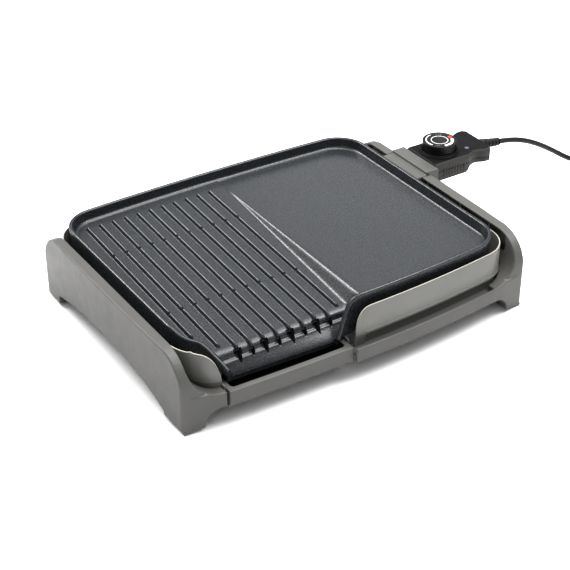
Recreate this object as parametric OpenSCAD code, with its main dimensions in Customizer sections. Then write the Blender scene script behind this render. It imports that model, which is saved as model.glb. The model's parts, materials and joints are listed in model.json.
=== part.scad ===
// Electric griddle: a die-cast half-ribbed, half-flat cooking plate on a low base with a drip tray,
// and a plug-in thermostat with its mains lead. Millimetres, +Z up, front towards -Y.
// The origin is on the floor, under the middle of the whole appliance without its lead.

/* [Base] */
// Width across the end panels at mid length
base_w = 475; // [473:1:477]
// Height of the end panels
panel_h = 93; // [92:0.5:94]
// Thickness of an end panel at its top
panel_t = 14; // [13:0.5:14.5]
// Height of the top of the front and rear rails
rail_top = 43; // [42:0.5:43.5]
// Height of the underside of the rails
rail_bottom = 25; // [24:0.5:26]
// Height of the wall of the inner shell
shell_top = 85; // [83:0.5:86]

/* [Cooking plate] */
// Width of the cooking plate
plate_w = 424; // [422:1:425]
// Height of the rim above the floor
rim_z = 97; // [96:0.5:98]
// Depth of the flat cooking area below the rim
flat_depth = 14; // [13:0.5:15]
// Number of grill ribs
rib_count = 11; // [9:1:11]
// Distance between ribs
rib_pitch = 16.9; // [16:0.1:17]
// Height of a rib above the ribbed floor
rib_h = 3.5; // [3:0.1:4]

/* [Drip tray] */
// Inside depth of the drip tray
tray_depth = 15; // [13:0.5:16]
// Length of the drip tray, front to back
tray_len = 118; // [100:1:122]

/* [Thermostat] */
// Length of the thermostat outside the hood
thermo_len = 93.5; // [92:0.5:95]
// Width of the thermostat
thermo_w = 62; // [60:1:64]
// Diameter of the dial
dial_d = 42; // [38:1:43]
// Radius of the temperature probe
probe_r = 3.1; // [2.9:0.05:3.2]

/* [Lead and plug] */
// Diameter of the mains lead
lead_d = 7; // [6.6:0.1:7.2]
// Radius of the plug pins
plug_pin_r = 2.4; // [2.35:0.05:2.45]
// Length of the plug pins
plug_pin_len = 19; // [18:0.5:19.5]

/* [Hidden] */

$fn = 48;
eps = 0.01;

// The base is drawn about its own centre line, with y = 0 at the front of its feet.
base_half = base_w / 2;
front_y = -16;
rear_y = 363;
hood_end_x = 250;
thermo_end_x = hood_end_x + thermo_len;
origin_x = (thermo_end_x - base_half) / 2;
origin_y = (front_y + rear_y) / 2;
mid_y = 170.5;
bow_r = 1500;          // radius of the bowed front faces
rear_bow_r = 1200;     // radius of the bowed rear of the base
side_bow_r = 5000;     // radius of the slightly bowed sides

// End panels
panel_in = base_half - panel_t;
foot_z = 3.5;
pad_z = 0.8;
corner_a = 43;         // half axes of the rounded top corners, seen from the side
corner_b = 47;
corner_steps = 15;
corner_turns = [for (i = [0 : corner_steps]) i * 90 / corner_steps];
arch_steps = 36;
rail_wall = 3.5;
panel_front = 2;
panel_rear = 339;
arch_mid = 180;
arch_half = 140;
arch_top = 31;
arch_n = 1.7;
apron_x = 183;
apron_depth = 60;
sweep_r = 35;
foot_arch_r = 21;
foot_in_x = 209;
pad_in_x = 221;
pad_w = 12.5;
pad_l = 13.5;
rubber_r = 5;
foot_y = [panel_front + pad_l / 2, panel_rear - pad_l / 2];
skin = 3;
base_screw_x = 192;
base_screw_y = [8, 333];

// Inner shell
shell_half = 222.5;
shell_t = 2;
shell_front = -1.5;
shell_rear = 352.5;
shell_corner = 42;
shell_foot = 36;
floor_z = 46;
gap_left = -183;
gap_right = -14;

// Cooking plate
plate_half = plate_w / 2;
plate_front = 9.3;
plate_rear = 346;
plate_rear_r = 2600;
plate_corner = 40;
wall_t = 5;
skirt_z = 62;
flat_z = rim_z - flat_depth;
plate_t = 4;
slope = 0.052;
ribbed_front_z = 66.2;
grill_left = -204;
divider_x = 3;
first_rib_x = -14.4;
rib_w = 5;
lip_y = 5;
lip_z = 50;
spout_left = -186;
spout_right = -20;
fall_y = 28;

// Thermostat inlet
axis_y = 229;
axis_z = 76.5;
pin_pitch = 32;
pin_r = 2.4;
earth_y = axis_y - 26;
earth_z = axis_z + 6;
hood_w = 74;
hood_bottom = 66;
hood_low_top = 93;
hood_high_top = 97;
hood_step_x = 231;
hood_wall = 2.5;
notch_gap = 0.5;
case_top = 99;
case_bottom = 74;
case_split = 87;
case_wall = 2.2;
nose_x = 237;
nose_z = 70;
dial_x = 279;
spindle_r = 3;

// Heating element: one loop with rounded corners
element_r = 3.8;
bend_r = 28;
element_z = 57;
loop_left = -120;
loop_right = 112;
loop_front = 88;
loop_rear = 308;
gap_front = 185;
gap_rear = 273;

// Drip tray
tray_l = -180.5;
tray_r = -22.6;
tray_top = rail_top;
tray_bottom = tray_top - tray_depth - 4;
tray_front_r = 3200;
tray_front_y = -9.8;
tray_wall = 2;
tray_lip = 8.5;

// Lead: straight out of the strain relief, down to the floor and into a coil, then out to the plug.
relief_len = 38;
relief_tilt = 8;
relief_start = [thermo_end_x, axis_y, 89];
coil_x = 575;
coil_y = axis_y - 42.5;
coil_r_in = 32;
coil_r_out = 46;
lead_route = [[381.1, 229, 83.7], [395, 229, 81.5], [410, 229, 78], [425, 229, 73], [440, 229, 66.5],
              [455, 229, 58.5], [470, 229, 49.5], [484, 229, 40.5], [498, 229, 31], [512, 229, 22],
              [526, 229, 14.5], [541, 229, 8.5], [556, 229, 4.8], [575, 229, 3.5]];
tail_route = [[617.5, 186.5, 10.5], [620, 172, 7.5], [622, 158, 5], [623, 144, 4], [624, 130, 5.5],
              [624, 116, 9.5], [624, 102, 14.5], [624, 90, 18], [624, 80, 19]];
plug_x = 624;
plug_y = 80;
plug_z = 19;
plug_body_len = 40;
plug_relief_len = 26;
plug_r = 19;
plug_pitch = 19;

housing_grey = [0.44, 0.43, 0.41];
shell_grey = [0.62, 0.62, 0.59];
plate_black = [0.16, 0.17, 0.18];
case_black = [0.09, 0.09, 0.1];
rubber_grey = [0.2, 0.2, 0.2];
steel = [0.75, 0.75, 0.76];
brass = [0.8, 0.65, 0.3];
ceramic = [0.9, 0.88, 0.82];

module in_frame() translate([-origin_x, -origin_y, 0]) children();

// ---- outlines ----

function reversed(list) = [for (i = [len(list) - 1 : -1 : 0]) list[i]];
function arc(cx, cy, r, a0, a1, steps) =
    [for (i = [0 : steps]) let (a = a0 + (a1 - a0) * i / steps) [cx + r * cos(a), cy + r * sin(a)]];

// Right half of a closed outline with a bowed front, a bowed rear and rounded corners.
function half_outline(half, yf, yr, rc, rf, rr) =
    let (cx = half - rc,
         cyf = yf + rf - sqrt(pow(rf - rc, 2) - cx * cx),
         cyr = yr - rr + sqrt(pow(rr - rc, 2) - cx * cx),
         af = atan2(cyf - yf - rf, cx),
         ar = atan2(cyr - yr + rr, cx),
         side = [for (i = [1 : 5]) [half, cyf + (cyr - cyf) * i / 6]])
    concat(arc(0, yf + rf, rf, -90, af, 8), arc(cx, cyf, rc, af + (0 - af) / 8, 0, 7), side,
           arc(cx, cyr, rc, 0, ar - ar / 8, 7), arc(0, yr - rr, rr, ar, 90, 8));

function mirrored(list) = [for (i = [len(list) - 2 : -1 : 1]) [-list[i][0], list[i][1]]];
function outline(half, yf, yr, rc, rf, rr) =
    let (h = half_outline(half, yf, yr, rc, rf, rr)) concat(h, mirrored(h));
function bowed(list) =
    [for (p = list) [p[0] * (1 - pow(p[1] - mid_y, 2) / (2 * side_bow_r * base_half)), p[1]]];

module base_prism(z0, z1, inset = 0)
    translate([0, 0, z0]) linear_extrude(z1 - z0)
        polygon(bowed(outline(base_half - inset, front_y + inset, rear_y - inset, 6, bow_r, rear_bow_r)));

module shell_prism(z0, z1, inset = 0)
    translate([0, 0, z0]) linear_extrude(z1 - z0)
        polygon(outline(shell_half - inset, shell_front + inset, shell_rear - inset,
                        shell_corner - inset, bow_r, bow_r));

module plate_prism(z0, z1, inset = 0)
    translate([0, 0, z0]) linear_extrude(z1 - z0)
        polygon(outline(plate_half - inset, plate_front + inset, plate_rear - inset,
                        plate_corner - inset, bow_r, plate_rear_r));

// Extrudes a (y, z) profile along x, from x0 to x1.
module along_x(x0, x1) translate([x0, 0, 0]) rotate([90, 0, 90]) linear_extrude(x1 - x0) children();
// Extrudes an (x, z) profile along y, from y0 to y1.
module along_y(y0, y1) translate([0, y1, 0]) rotate([90, 0, 0]) linear_extrude(y1 - y0) children();
// A cylinder along +x from a point.
module rod_x(p, r, l) translate(p) rotate([0, 90, 0]) cylinder(h = l, r = r);

// ---- base ----

// Side view of an end panel: rounded top corners, feet at both ends and a long arch between them.
function panel_profile(inset) =
    let (a = corner_a - inset, b = corner_b - inset, top = panel_h - inset,
         yf = panel_front + inset, yr = panel_rear - inset,
         arch = [for (i = [0 : arch_steps]) let (u = -1 + 2 * i / arch_steps)
                 [arch_mid + u * (arch_half + inset),
                  foot_z + inset + (arch_top - foot_z) * pow(1 - pow(abs(u), arch_n), 1 / arch_n)]])
    concat([[yf, foot_z + inset]], arch, [[yr + 1, foot_z + inset]],
           [for (t = corner_turns) [yr - a + a * cos(t), top - b + b * sin(t)]],
           [for (t = reversed(corner_turns)) [yf + a - a * cos(t), top - b + b * sin(t)]]);

// Front view of the foot and the apron at a corner, drawn for the right-hand side.
module corner_profile() difference() {
    translate([apron_x, foot_z]) square([base_half - apron_x + 1, panel_h - foot_z]);
    translate([apron_x - 1, rail_top]) square([1 + panel_in - sweep_r - apron_x, panel_h]);
    translate([panel_in - sweep_r, rail_top + sweep_r]) circle(sweep_r, $fn = 96);
    translate([apron_x - 1, rail_top + sweep_r]) square([1 + panel_in - apron_x, panel_h]);
    translate([foot_in_x - foot_arch_r, foot_z]) circle(foot_arch_r, $fn = 96);
    translate([apron_x - 1, 0]) square([1 + foot_in_x - foot_arch_r - apron_x, rail_bottom - 0.5]);
}

module pocket_rib(y) translate([panel_in - 1, y - 1, 0]) cube([panel_t, 2, panel_h]);

// One end panel with its two corners, drawn for the right-hand side.
module end_panel() {
    difference() {
        intersection() {
            base_prism(foot_z, panel_h);
            union() {
                along_x(panel_in, base_half + 1) polygon(panel_profile(0));
                intersection() {
                    along_y(front_y, front_y + apron_depth) corner_profile();
                    along_x(apron_x - 1, base_half + 1) front_round();
                }
                intersection() {
                    along_y(rear_y - apron_depth, rear_y) corner_profile();
                    along_x(apron_x - 1, base_half + 1) rear_round();
                }
            }
        }
        shell_prism(shell_foot, panel_h + 1, -0.4);
        shell_prism(-1, shell_foot + 1, 4);
        difference() {
            along_x(panel_in - 1, base_half - 5.5) polygon(panel_profile(skin));
            for (y = [60, 115, 180, 275]) pocket_rib(y);
            for (y = [front_y, rear_y - 45]) translate([0, y, 0]) cube([base_half, 45, panel_h]);
        }
        for (y = base_screw_y) translate([base_screw_x, y, rail_bottom - 5]) cylinder(h = 15, r = 1.65);
    }
    for (y = foot_y) foot_pad(y);
}

// Keeps a corner inside the rounded end of the panel, seen from the side.
module front_round() polygon(concat([[front_y - 1, 0], [apron_depth, 0], [apron_depth, panel_h]],
    [for (t = reversed(corner_turns)) [panel_front + corner_a - corner_a * cos(t),
                                       panel_h - corner_b + corner_b * sin(t) - (t == 0 ? eps : 0)]],
    [[front_y - 1, panel_h - corner_b]]));
module rear_round() polygon(concat([[rear_y - apron_depth, 0], [rear_y + 1, 0],
                                    [rear_y + 1, panel_h - corner_b]],
    [for (t = corner_turns) [panel_rear - corner_a + corner_a * cos(t),
                             panel_h - corner_b + corner_b * sin(t) - (t == 0 ? eps : 0)]],
    [[rear_y - apron_depth, panel_h]]));

module foot_pad(y) difference() {
    translate([pad_in_x, y - pad_l / 2, pad_z]) cube([pad_w, pad_l, foot_z - pad_z + eps]);
    translate([pad_in_x + pad_w / 2, y, pad_z - 1]) cylinder(h = 3, r = rubber_r);
}

module left_end_panel() color(housing_grey) in_frame() mirror([1, 0, 0]) end_panel();

module right_end_panel() color(housing_grey) in_frame() difference() {
    end_panel();
    translate([panel_in - 20, axis_y - hood_w / 2 - notch_gap, hood_bottom - notch_gap])
        cube([60, hood_w + 2 * notch_gap, panel_h]);
}

// Rail section: a face, a top and a ledge that carries the shell.
module rail_ring() difference() {
    union() {
        difference() {
            base_prism(rail_bottom, rail_top);
            base_prism(rail_bottom - 1, rail_top + 1, rail_wall);
        }
        difference() {
            base_prism(shell_foot - 3, shell_foot - 0.2, 3);
            base_prism(shell_foot - 4, shell_foot, 22);
        }
    }
}

module front_rail() color(housing_grey) in_frame() difference() {
    intersection() {
        rail_ring();
        translate([tray_r + 0.8, front_y - 1, 0]) cube([apron_x - tray_r - 1, 40, panel_h]);
    }
    translate([tray_r, -4, 0]) cube([2.8, 40, panel_h]);
}

module rear_rail() color(housing_grey) in_frame() intersection() {
    rail_ring();
    translate([-apron_x + 0.2, rear_y - 40, 0]) cube([2 * apron_x - 0.4, 41, panel_h]);
}

module inner_shell() color(shell_grey) in_frame() difference() {
    union() {
        difference() {
            shell_prism(shell_foot, shell_top);
            shell_prism(shell_foot - 1, shell_top + 1, shell_t);
            translate([gap_left, shell_front - 1, shell_foot - 1])
                cube([gap_right - gap_left, 40, shell_top]);
            along_y(shell_front - 1, 40) polygon(concat([[gap_right - 1, shell_top + 1]],
                arc(gap_right + 19, shell_top - 19, 19, 180, 90, 8), [[8, shell_top + 1]]));
        }
        difference() {
            shell_prism(floor_z, floor_z + 2, 1);
            translate([gap_left, shell_front - 1, floor_z - 1]) cube([gap_right - gap_left, 12, 4]);
        }
    }
    translate([shell_half - 10, axis_y - hood_w / 2 - notch_gap, hood_bottom - notch_gap])
        cube([20, hood_w + 2 * notch_gap, shell_top]);
    for (p = post_places()) translate([p[0], p[1], floor_z - 1]) cylinder(h = 5, r = 2.2);
    // vents that let warm air out from under the reflector
    for (x = [-150, 0, 150]) translate([x, 330, floor_z - 1]) cylinder(h = 5, r = 6);
}

// Four places where the plate stands on the base.
function post_places() = [for (x = [-165, 165], y = [75, 300]) [x, y]];

module heat_reflector() color(steel) in_frame() difference() {
    translate([-198, 48, 53]) cube([396, 286, 8]);
    translate([-197, 49, 54]) cube([394, 284, 8]);
    for (p = post_places()) translate([p[0], p[1], 50]) cylinder(h = 6, r = 9);
    translate([186, axis_y - 30, 56]) cube([20, 60, 10]);
}

module plate_support_posts() color([0.15, 0.12, 0.1]) in_frame() for (p = post_places())
    translate([p[0], p[1], 0]) difference() {
        union() {
            translate([0, 0, floor_z + 2.05]) cylinder(h = 4.9, r = 11);
            translate([0, 0, floor_z + 6]) cylinder(h = 12, r = 8);
        }
        translate([0, 0, floor_z + 12]) cylinder(h = 8, r = 4.6);
        translate([0, 0, floor_z]) cylinder(h = 9, r = 1.7);
    }

module post_screws() color(steel) in_frame() for (p = post_places()) translate([p[0], p[1], 0]) {
    translate([0, 0, floor_z - 2.6]) cylinder(h = 2.5, r = 3.6);
    translate([0, 0, floor_z - 0.2]) cylinder(h = 9, r = 1.7);
}

// Runner for one edge of the drip tray; the tray's bottom edge slides on its lip.
module tray_guide(x, side) translate([x, 0, 0]) {
    translate([side > 0 ? 0 : -2, 3, tray_bottom - 2.6]) cube([2, 118, floor_z - tray_bottom + 2.5]);
    translate([side > 0 ? -3.5 : -eps, -3, tray_bottom - 2.6]) cube([3.5 + eps, 124, 2.2]);
}

module tray_guide_left() color(housing_grey) in_frame() tray_guide(tray_l - 0.2, -1);
module tray_guide_right() color(housing_grey) in_frame() tray_guide(tray_r + 0.4, 1);

module rubber_feet() color(rubber_grey) in_frame() for (s = [-1, 1], y = foot_y)
    translate([s * (pad_in_x + pad_w / 2), y, 0]) cylinder(h = foot_z - 1.6, r = rubber_r);

module base_screws() color(steel) in_frame() for (s = [-1, 1], y = base_screw_y)
    translate([s * base_screw_x, y, rail_bottom - 4.1]) {
        cylinder(h = 2, r = 3.5);
        cylinder(h = 13, r = 1.6);
    }

// ---- drip tray ----

module tray_outline(inset) {
    front = [for (i = [0 : 8]) let (x = tray_l + inset + (tray_r - tray_l - 2 * inset) * i / 8)
             [x, tray_front_y + inset + pow(x - tray_r, 2) / (2 * tray_front_r)]];
    polygon(concat(front, [[tray_r - inset, tray_front_y + tray_len - inset],
                           [tray_l + inset, tray_front_y + tray_len - inset]]));
}

module drip_tray() color(housing_grey) in_frame() difference() {
    translate([0, 0, tray_bottom]) linear_extrude(tray_top - tray_bottom) tray_outline(0);
    difference() {
        translate([0, 0, tray_bottom + 2]) linear_extrude(tray_top) tray_outline(tray_wall);
        translate([tray_l - 1, tray_front_y - 1, 0]) cube([200, tray_lip + 1.5, tray_top + 1]);
    }
    translate([0, 0, tray_bottom - 1]) difference() {
        linear_extrude(tray_top - tray_bottom - 1) tray_outline(2.5);
        translate([tray_l, tray_front_y + tray_lip - 1.5, 0]) cube([200, tray_len, tray_top]);
    }
}

// ---- cooking plate ----

function ribbed_z(y) = ribbed_front_z + slope * y;

// Side view of the path that the rim follows down into the spout.
spout_drop = [[70, rim_z + 1], [68, rim_z], [57, 92], [47, 87], [42, 82], [25, 70], [4, 57], [-20, 52]];
// Front view of the right side of the spout.
spout_side = [[0, rim_z + 1], [-2, rim_z], [-10, 93], [-17, 85], [-23, 76], [-29, 65], [-36, 54],
              [-36, 30]];

module spout_cut() intersection() {
    along_x(-230, 20) polygon(concat(spout_drop, [[-20, rim_z + 1]]));
    along_y(-20, 80) polygon(concat(spout_side, [[-230, 30], [-230, rim_z + 1]]));
}

module rib_bar(i) {
    x = first_rib_x - i * rib_pitch;
    y0 = i == 10 ? 68 : i == 9 ? 40 : i == 0 ? 36 : fall_y - 2;
    y1 = 318;
    translate([x, 0, 0]) along_x(-rib_w / 2, rib_w / 2)
        polygon([[y0, ribbed_z(y0) - 1], [y1, ribbed_z(y1) - 1], [y1, ribbed_z(y1) + rib_h],
                 [y0 + 3, ribbed_z(y0) + rib_h], [y0, ribbed_z(y0) + rib_h - 1.5]]);
}

module cooking_plate() color(plate_black) in_frame() difference() {
    union() {
        difference() {
            plate_prism(skirt_z, rim_z);
            // flat half
            intersection() {
                plate_prism(flat_z, rim_z + 1, wall_t);
                translate([divider_x + 6, -20, 0]) cube([300, 400, 200]);
            }
            // ribbed half
            intersection() {
                plate_prism(skirt_z, rim_z + 1, wall_t);
                along_x(grill_left - 10, divider_x + 7) polygon([[-20, ribbed_z(-20)], [360, ribbed_z(360)],
                    [360, rim_z + 1], [-20, rim_z + 1]]);
                union() {
                    translate([-300, -20, 0]) cube([300 + divider_x - 6, 400, 200]);
                    along_y(-20, 380) polygon([[divider_x - 7, 70], [divider_x + 6.1, flat_z],
                        [divider_x + 6.1, rim_z + 1], [divider_x - 7, rim_z + 1]]);
                }
            }
            spout_cut();
            // under side: a skirt all round and a floor
            intersection() {
                plate_prism(skirt_z - 1, flat_z - plate_t, wall_t);
                union() {
                    translate([divider_x + 10, -20, 0]) cube([300, 400, 200]);
                    along_x(-300, divider_x + 10.1) polygon([[-20, 0], [360, 0],
                        [360, ribbed_z(360) - plate_t], [-20, ribbed_z(-20) - plate_t]]);
                }
            }
            // the ribbed floor stops where it falls to the spout
            translate([spout_left + 4, -20, skirt_z - 1])
                cube([spout_right - spout_left - 16, fall_y + 12, 60]);
        }
        for (i = [0 : rib_count - 1]) rib_bar(i);
        // chute from the ribbed floor down to the lip
        along_x(spout_left + 3, spout_right - 11) polygon([[fall_y, ribbed_z(fall_y)],
            [fall_y - 7, ribbed_z(fall_y) - 2], [fall_y - 9, 58], [lip_y + 12, 55.5], [lip_y, lip_z + 2],
            [lip_y, lip_z], [fall_y - 6, 51], [fall_y, 56], [fall_y + 4, 61],
            [fall_y + 6, ribbed_z(fall_y) - plate_t]]);
    }
    // inlet: probe and terminal holes through the right-hand wall
    rod_x([120, axis_y, axis_z], 5.05, 120);
    for (s = [-1, 1]) rod_x([plate_half - 12, axis_y + s * pin_pitch / 2, axis_z], 5.55, 20);
    hood_fixings(0.05);
    translate([188, axis_y - 22, skirt_z]) cube([plate_half - wall_t - 188, 44, axis_z + 4 - skirt_z]);
}

module plate_studs() color(plate_black) in_frame() for (p = post_places()) {
    top = (p[0] > 0 ? flat_z - plate_t : ribbed_z(p[1]) - plate_t - 0.35) - 0.02;
    translate([p[0], p[1], floor_z + 12.3]) cylinder(h = 7, r = 4.2);
    translate([p[0], p[1], floor_z + 18.3]) cylinder(h = top - floor_z - 18.3, r = 7);
}

// Tubular element: one loop in a plane that follows the ribbed floor, with two cold ends.
module run_x(x0, x1, y) rod_x([x0, y, 0], element_r, x1 - x0);
module run_y(x, y0, y1) translate([x, y0, 0]) rotate([-90, 0, 0]) cylinder(h = y1 - y0, r = element_r);
module bend(x, y, a) translate([x, y, 0]) rotate([0, 0, a]) rotate_extrude(angle = 90)
    translate([bend_r, 0]) circle(element_r, $fn = 24);

module heating_element() color(steel) in_frame() {
    translate([0, 0, element_z]) rotate([atan(slope), 0, 0]) {
        run_x(loop_left, loop_right, loop_rear);
        bend(loop_left, loop_rear - bend_r, 90);
        run_y(loop_left - bend_r, loop_front, loop_rear - bend_r);
        bend(loop_left, loop_front, 180);
        run_x(loop_left, loop_right, loop_front - bend_r);
        bend(loop_right, loop_rear - bend_r, 0);
        bend(loop_right, loop_front, 270);
        run_y(loop_right + bend_r, loop_front, gap_front);
        run_y(loop_right + bend_r, gap_rear, loop_rear - bend_r);
        bend(loop_right + 2 * bend_r, gap_front, 90);
        bend(loop_right + 2 * bend_r, gap_rear, 180);
    }
    for (s = [-1, 1]) cold_end(s);
}

// Cold end: rises from the loop to the terminal at the side wall.
module cold_end(s) {
    y = axis_y + s * pin_pitch / 2;
    z0 = element_z + slope * y;
    x0 = loop_right + 2 * bend_r;
    rise = atan((axis_z - z0) / (plate_half - 6 - x0));
    translate([x0, y, z0]) rotate([0, 90 - rise, 0]) cylinder(h = 36, r = element_r);
}

module terminal_pins() color(brass) in_frame() for (s = [-1, 1])
    rod_x([plate_half - 8, axis_y + s * pin_pitch / 2, axis_z], pin_r, 38);

module terminal_insulators() color(ceramic) in_frame() for (s = [-1, 1]) difference() {
    union() {
        rod_x([plate_half - 10, axis_y + s * pin_pitch / 2, axis_z], 5.5, 16);
        rod_x([plate_half + 3.2, axis_y + s * pin_pitch / 2, axis_z], 7.5, 4);
    }
    rod_x([plate_half - 11, axis_y + s * pin_pitch / 2, axis_z], pin_r, 30);
}

module probe_sleeve() color(steel) in_frame() difference() {
    rod_x([126, axis_y, axis_z], 5, plate_half + 8 - 126);
    rod_x([130, axis_y, axis_z], probe_r + 0.3, 120);
}

module earth_pin() color(brass) in_frame() rod_x([plate_half - 3, earth_y, earth_z], 2, 32);

module inlet_hood() color(housing_grey) in_frame() {
    y0 = axis_y - hood_w / 2;
    difference() {
        union() {
            translate([plate_half + 0.2, y0, hood_bottom])
                cube([hood_end_x - plate_half - 0.2, hood_w, hood_low_top - hood_bottom]);
            translate([hood_step_x, y0, hood_bottom])
                cube([hood_end_x - hood_step_x, hood_w, hood_high_top - hood_bottom]);
        }
        translate([plate_half + 3.2, y0 + hood_wall, hood_bottom + hood_wall])
            cube([60, hood_w - 2 * hood_wall, hood_low_top - hood_bottom - 2 * hood_wall]);
        translate([hood_step_x + 2.5, y0 + hood_wall, hood_bottom + hood_wall])
            cube([60, hood_w - 2 * hood_wall, hood_high_top - hood_bottom - 2 * hood_wall]);
        for (s = [-1, 1]) rod_x([plate_half - 1, axis_y + s * pin_pitch / 2, axis_z], 5.55, 8);
        rod_x([plate_half - 1, axis_y, axis_z], 5.05, 8);
        hood_fixings(0.05);
    }
}

module hood_screws() color(steel) in_frame() for (s = [-1, 1]) {
    rod_x([plate_half - wall_t + 0.5, axis_y + s * 30, axis_z + 9], 1.55, wall_t + 3);
    rod_x([plate_half + 3.25, axis_y + s * 30, axis_z + 9], 3, 2);
}

// Holes for the two hood screws and the earth pin.
module hood_fixings(gap) {
    for (s = [-1, 1]) rod_x([plate_half - 10, axis_y + s * 30, axis_z + 9], 1.55 + gap, 20);
    rod_x([plate_half - 10, earth_y, earth_z], 2 + gap, 20);
}

// ---- thermostat ----

// Plan of the case: full width near the hood, a waist for the fingers, then a wider end.
function waist(x) = x < 302 || x > 334 ? 0 : 4.5 * pow(sin((x - 302) / 32 * 180), 2);
function case_plan(inset) =
    let (w = thermo_w / 2 - inset, x0 = hood_end_x + 0.2, x1 = thermo_end_x - inset,
         side = [for (x = [x0 + inset, for (i = [0 : 10]) 302 + i * 3.2, x1 - 4]) [x, w - waist(x)]])
    concat([for (p = side) [p[0], axis_y - p[1]]], [[x1, axis_y - w + 4], [x1, axis_y + w - 4]],
           [for (p = reversed(side)) [p[0], axis_y + p[1]]]);

module case_prism(z0, z1, inset = 0)
    translate([0, 0, z0]) linear_extrude(z1 - z0) polygon(case_plan(inset));

// Side view of the underside: a deeper part near the hood and a shallower grip.
module case_under() along_y(axis_y - 60, axis_y + 60)
    polygon([[230, case_bottom], [302, case_bottom], [309, 81], [360, 81], [360, 20], [230, 20]]);

module nose(inset, x_end) translate([nose_x + inset, axis_y - 31 + inset, nose_z + inset])
    cube([x_end - nose_x - inset, 62 - 2 * inset, 92 - nose_z - 2 * inset]);

module case_body() union() {
    difference() {
        case_prism(60, case_top);
        case_under();
    }
    nose(0, hood_end_x + 3);
    keel(0);
}
module case_inside() union() {
    difference() {
        case_prism(case_bottom + case_wall, case_top - case_wall, case_wall);
        translate([0, 0, case_wall]) case_under();
    }
    nose(case_wall, hood_end_x + 6);
    keel(case_wall);
}
// Deeper middle of the underside, under the probe.
module keel(inset) along_y(axis_y - 17 + inset, axis_y + 17 - inset)
    polygon([[hood_end_x + 0.2 + inset, 68.5 + inset], [290 - inset, 68.5 + inset],
             [300 - inset, case_bottom + 1], [300 - inset, case_bottom + 5],
             [hood_end_x + 0.2 + inset, case_bottom + 5]]);

module case_slots() for (i = [0 : 7])
    translate([262 + i * 4.6, axis_y - thermo_w / 2 - 1, 79]) cube([2.2, 1.9, 12]);

module thermostat_upper_case() color(case_black) in_frame() difference() {
    case_body();
    case_inside();
    translate([200, 150, 50]) cube([200, 160, case_split - 50]);
    translate([dial_x, axis_y, case_top - 5]) cylinder(h = 8, r = spindle_r + 0.5);
    translate([314, axis_y - 14, case_top - 5]) cylinder(h = 8, r = 3.1);
    case_slots();
    relief_socket();
    probe_holes();
}

module thermostat_lower_case() color(case_black) in_frame() difference() {
    union() {
        difference() {
            case_body();
            case_inside();
        }
        for (p = screw_places()) translate([p[0], p[1], p[2]]) cylinder(h = case_split - p[2], r = 3.4);
    }
    translate([200, 150, case_split - 0.05]) cube([200, 160, 50]);
    case_slots();
    relief_socket();
    probe_holes();
    for (p = screw_places()) {
        translate([p[0], p[1], p[2] - 9]) cylinder(h = 30, r = 1.55);
        translate([p[0], p[1], p[2] - 9]) cylinder(h = 9, r = 3);
    }
}

function screw_places() = [[258, axis_y - 24, 75], [258, axis_y + 24, 75],
                           [328, axis_y - 20, 82], [328, axis_y + 20, 82]];

module relief_socket() translate(relief_start) rotate([0, 90 + relief_tilt, 0])
    translate([0, 0, -8]) cylinder(h = 16, r = 7.1);

module probe_holes() {
    rod_x([nose_x - 5, axis_y, axis_z], probe_r + 0.02, 12);
    for (s = [-1, 1]) rod_x([nose_x - 5, axis_y + s * pin_pitch / 2, axis_z], pin_r + 1, 12);
    rod_x([nose_x - 5, earth_y, earth_z], 2.8, 12);
}

module probe_tube() color(steel) in_frame() rod_x([136, axis_y, axis_z], probe_r, 272 - 136);

module contact_carrier() color(ceramic) in_frame() difference() {
    translate([nose_x + case_wall + 0.2, axis_y - 23, nose_z + 2.5]) cube([15, 46, 13.5]);
    rod_x([nose_x, axis_y, axis_z], probe_r, 30);
    for (s = [-1, 1]) rod_x([nose_x, axis_y + s * pin_pitch / 2, axis_z], pin_r + 0.9, 30);
}

module contact_sleeves() color(brass) in_frame() for (s = [-1, 1]) difference() {
    rod_x([nose_x + 2.6, axis_y + s * pin_pitch / 2, axis_z], pin_r + 0.9, 16);
    rod_x([nose_x, axis_y + s * pin_pitch / 2, axis_z], pin_r + 0.05, 15);
}

module earth_spring() color(steel) in_frame() difference() {
    rod_x([nose_x + 2.6, earth_y, earth_z], 2.6, 14);
    rod_x([nose_x, earth_y, earth_z], 2.05, 13);
}

module switch_base() color(ceramic) in_frame() difference() {
    translate([262.5, axis_y - 20, 80.5]) cube([34, 40, 4]);
    translate([dial_x, axis_y, 70]) cylinder(h = 20, r = spindle_r + 0.6);
}

module bimetal_strip() color([0.7, 0.6, 0.5]) in_frame()
    translate([264, axis_y + 6, 84.6]) cube([30, 7, 1]);

module contact_leaf() color(brass) in_frame() {
    translate([264, axis_y - 13, 84.6]) cube([30, 6, 0.8]);
    translate([290, axis_y - 10, 85.3]) cylinder(h = 1.2, r = 1.8);
}

module supply_terminals() color(brass) in_frame() for (y = [-9, 0, 9])
    translate([301, axis_y + y - 3, 84]) cube([9, 6, 6]);

module indicator_lamp() color([1, 0.5, 0.3]) in_frame()
    translate([314, axis_y - 14, 86]) cylinder(h = 8, r = 2.6);

module indicator_lens() color([0.75, 0.75, 0.8]) in_frame() translate([314, axis_y - 14, 0]) {
    translate([0, 0, 94.2]) cylinder(h = case_top - 94.2 + 0.5, r = 3);
    translate([0, 0, 94.2]) cylinder(h = 2.4, r = 4);
}

module cord_clamp() color(case_black) in_frame() translate([322, axis_y - 12, 84.3]) difference() {
    cube([6, 24, 9]);
    translate([-1, 12, 5]) rotate([0, 90, 0]) cylinder(h = 9, r = lead_d / 2 + 0.1);
}

module case_screws() color(steel) in_frame() for (p = screw_places()) translate([p[0], p[1], 0]) {
    translate([0, 0, p[2] - 1.2]) cylinder(h = 1.15, r = 2.8);
    translate([0, 0, p[2] - 0.2]) cylinder(h = 10, r = 1.5);
}

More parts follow.
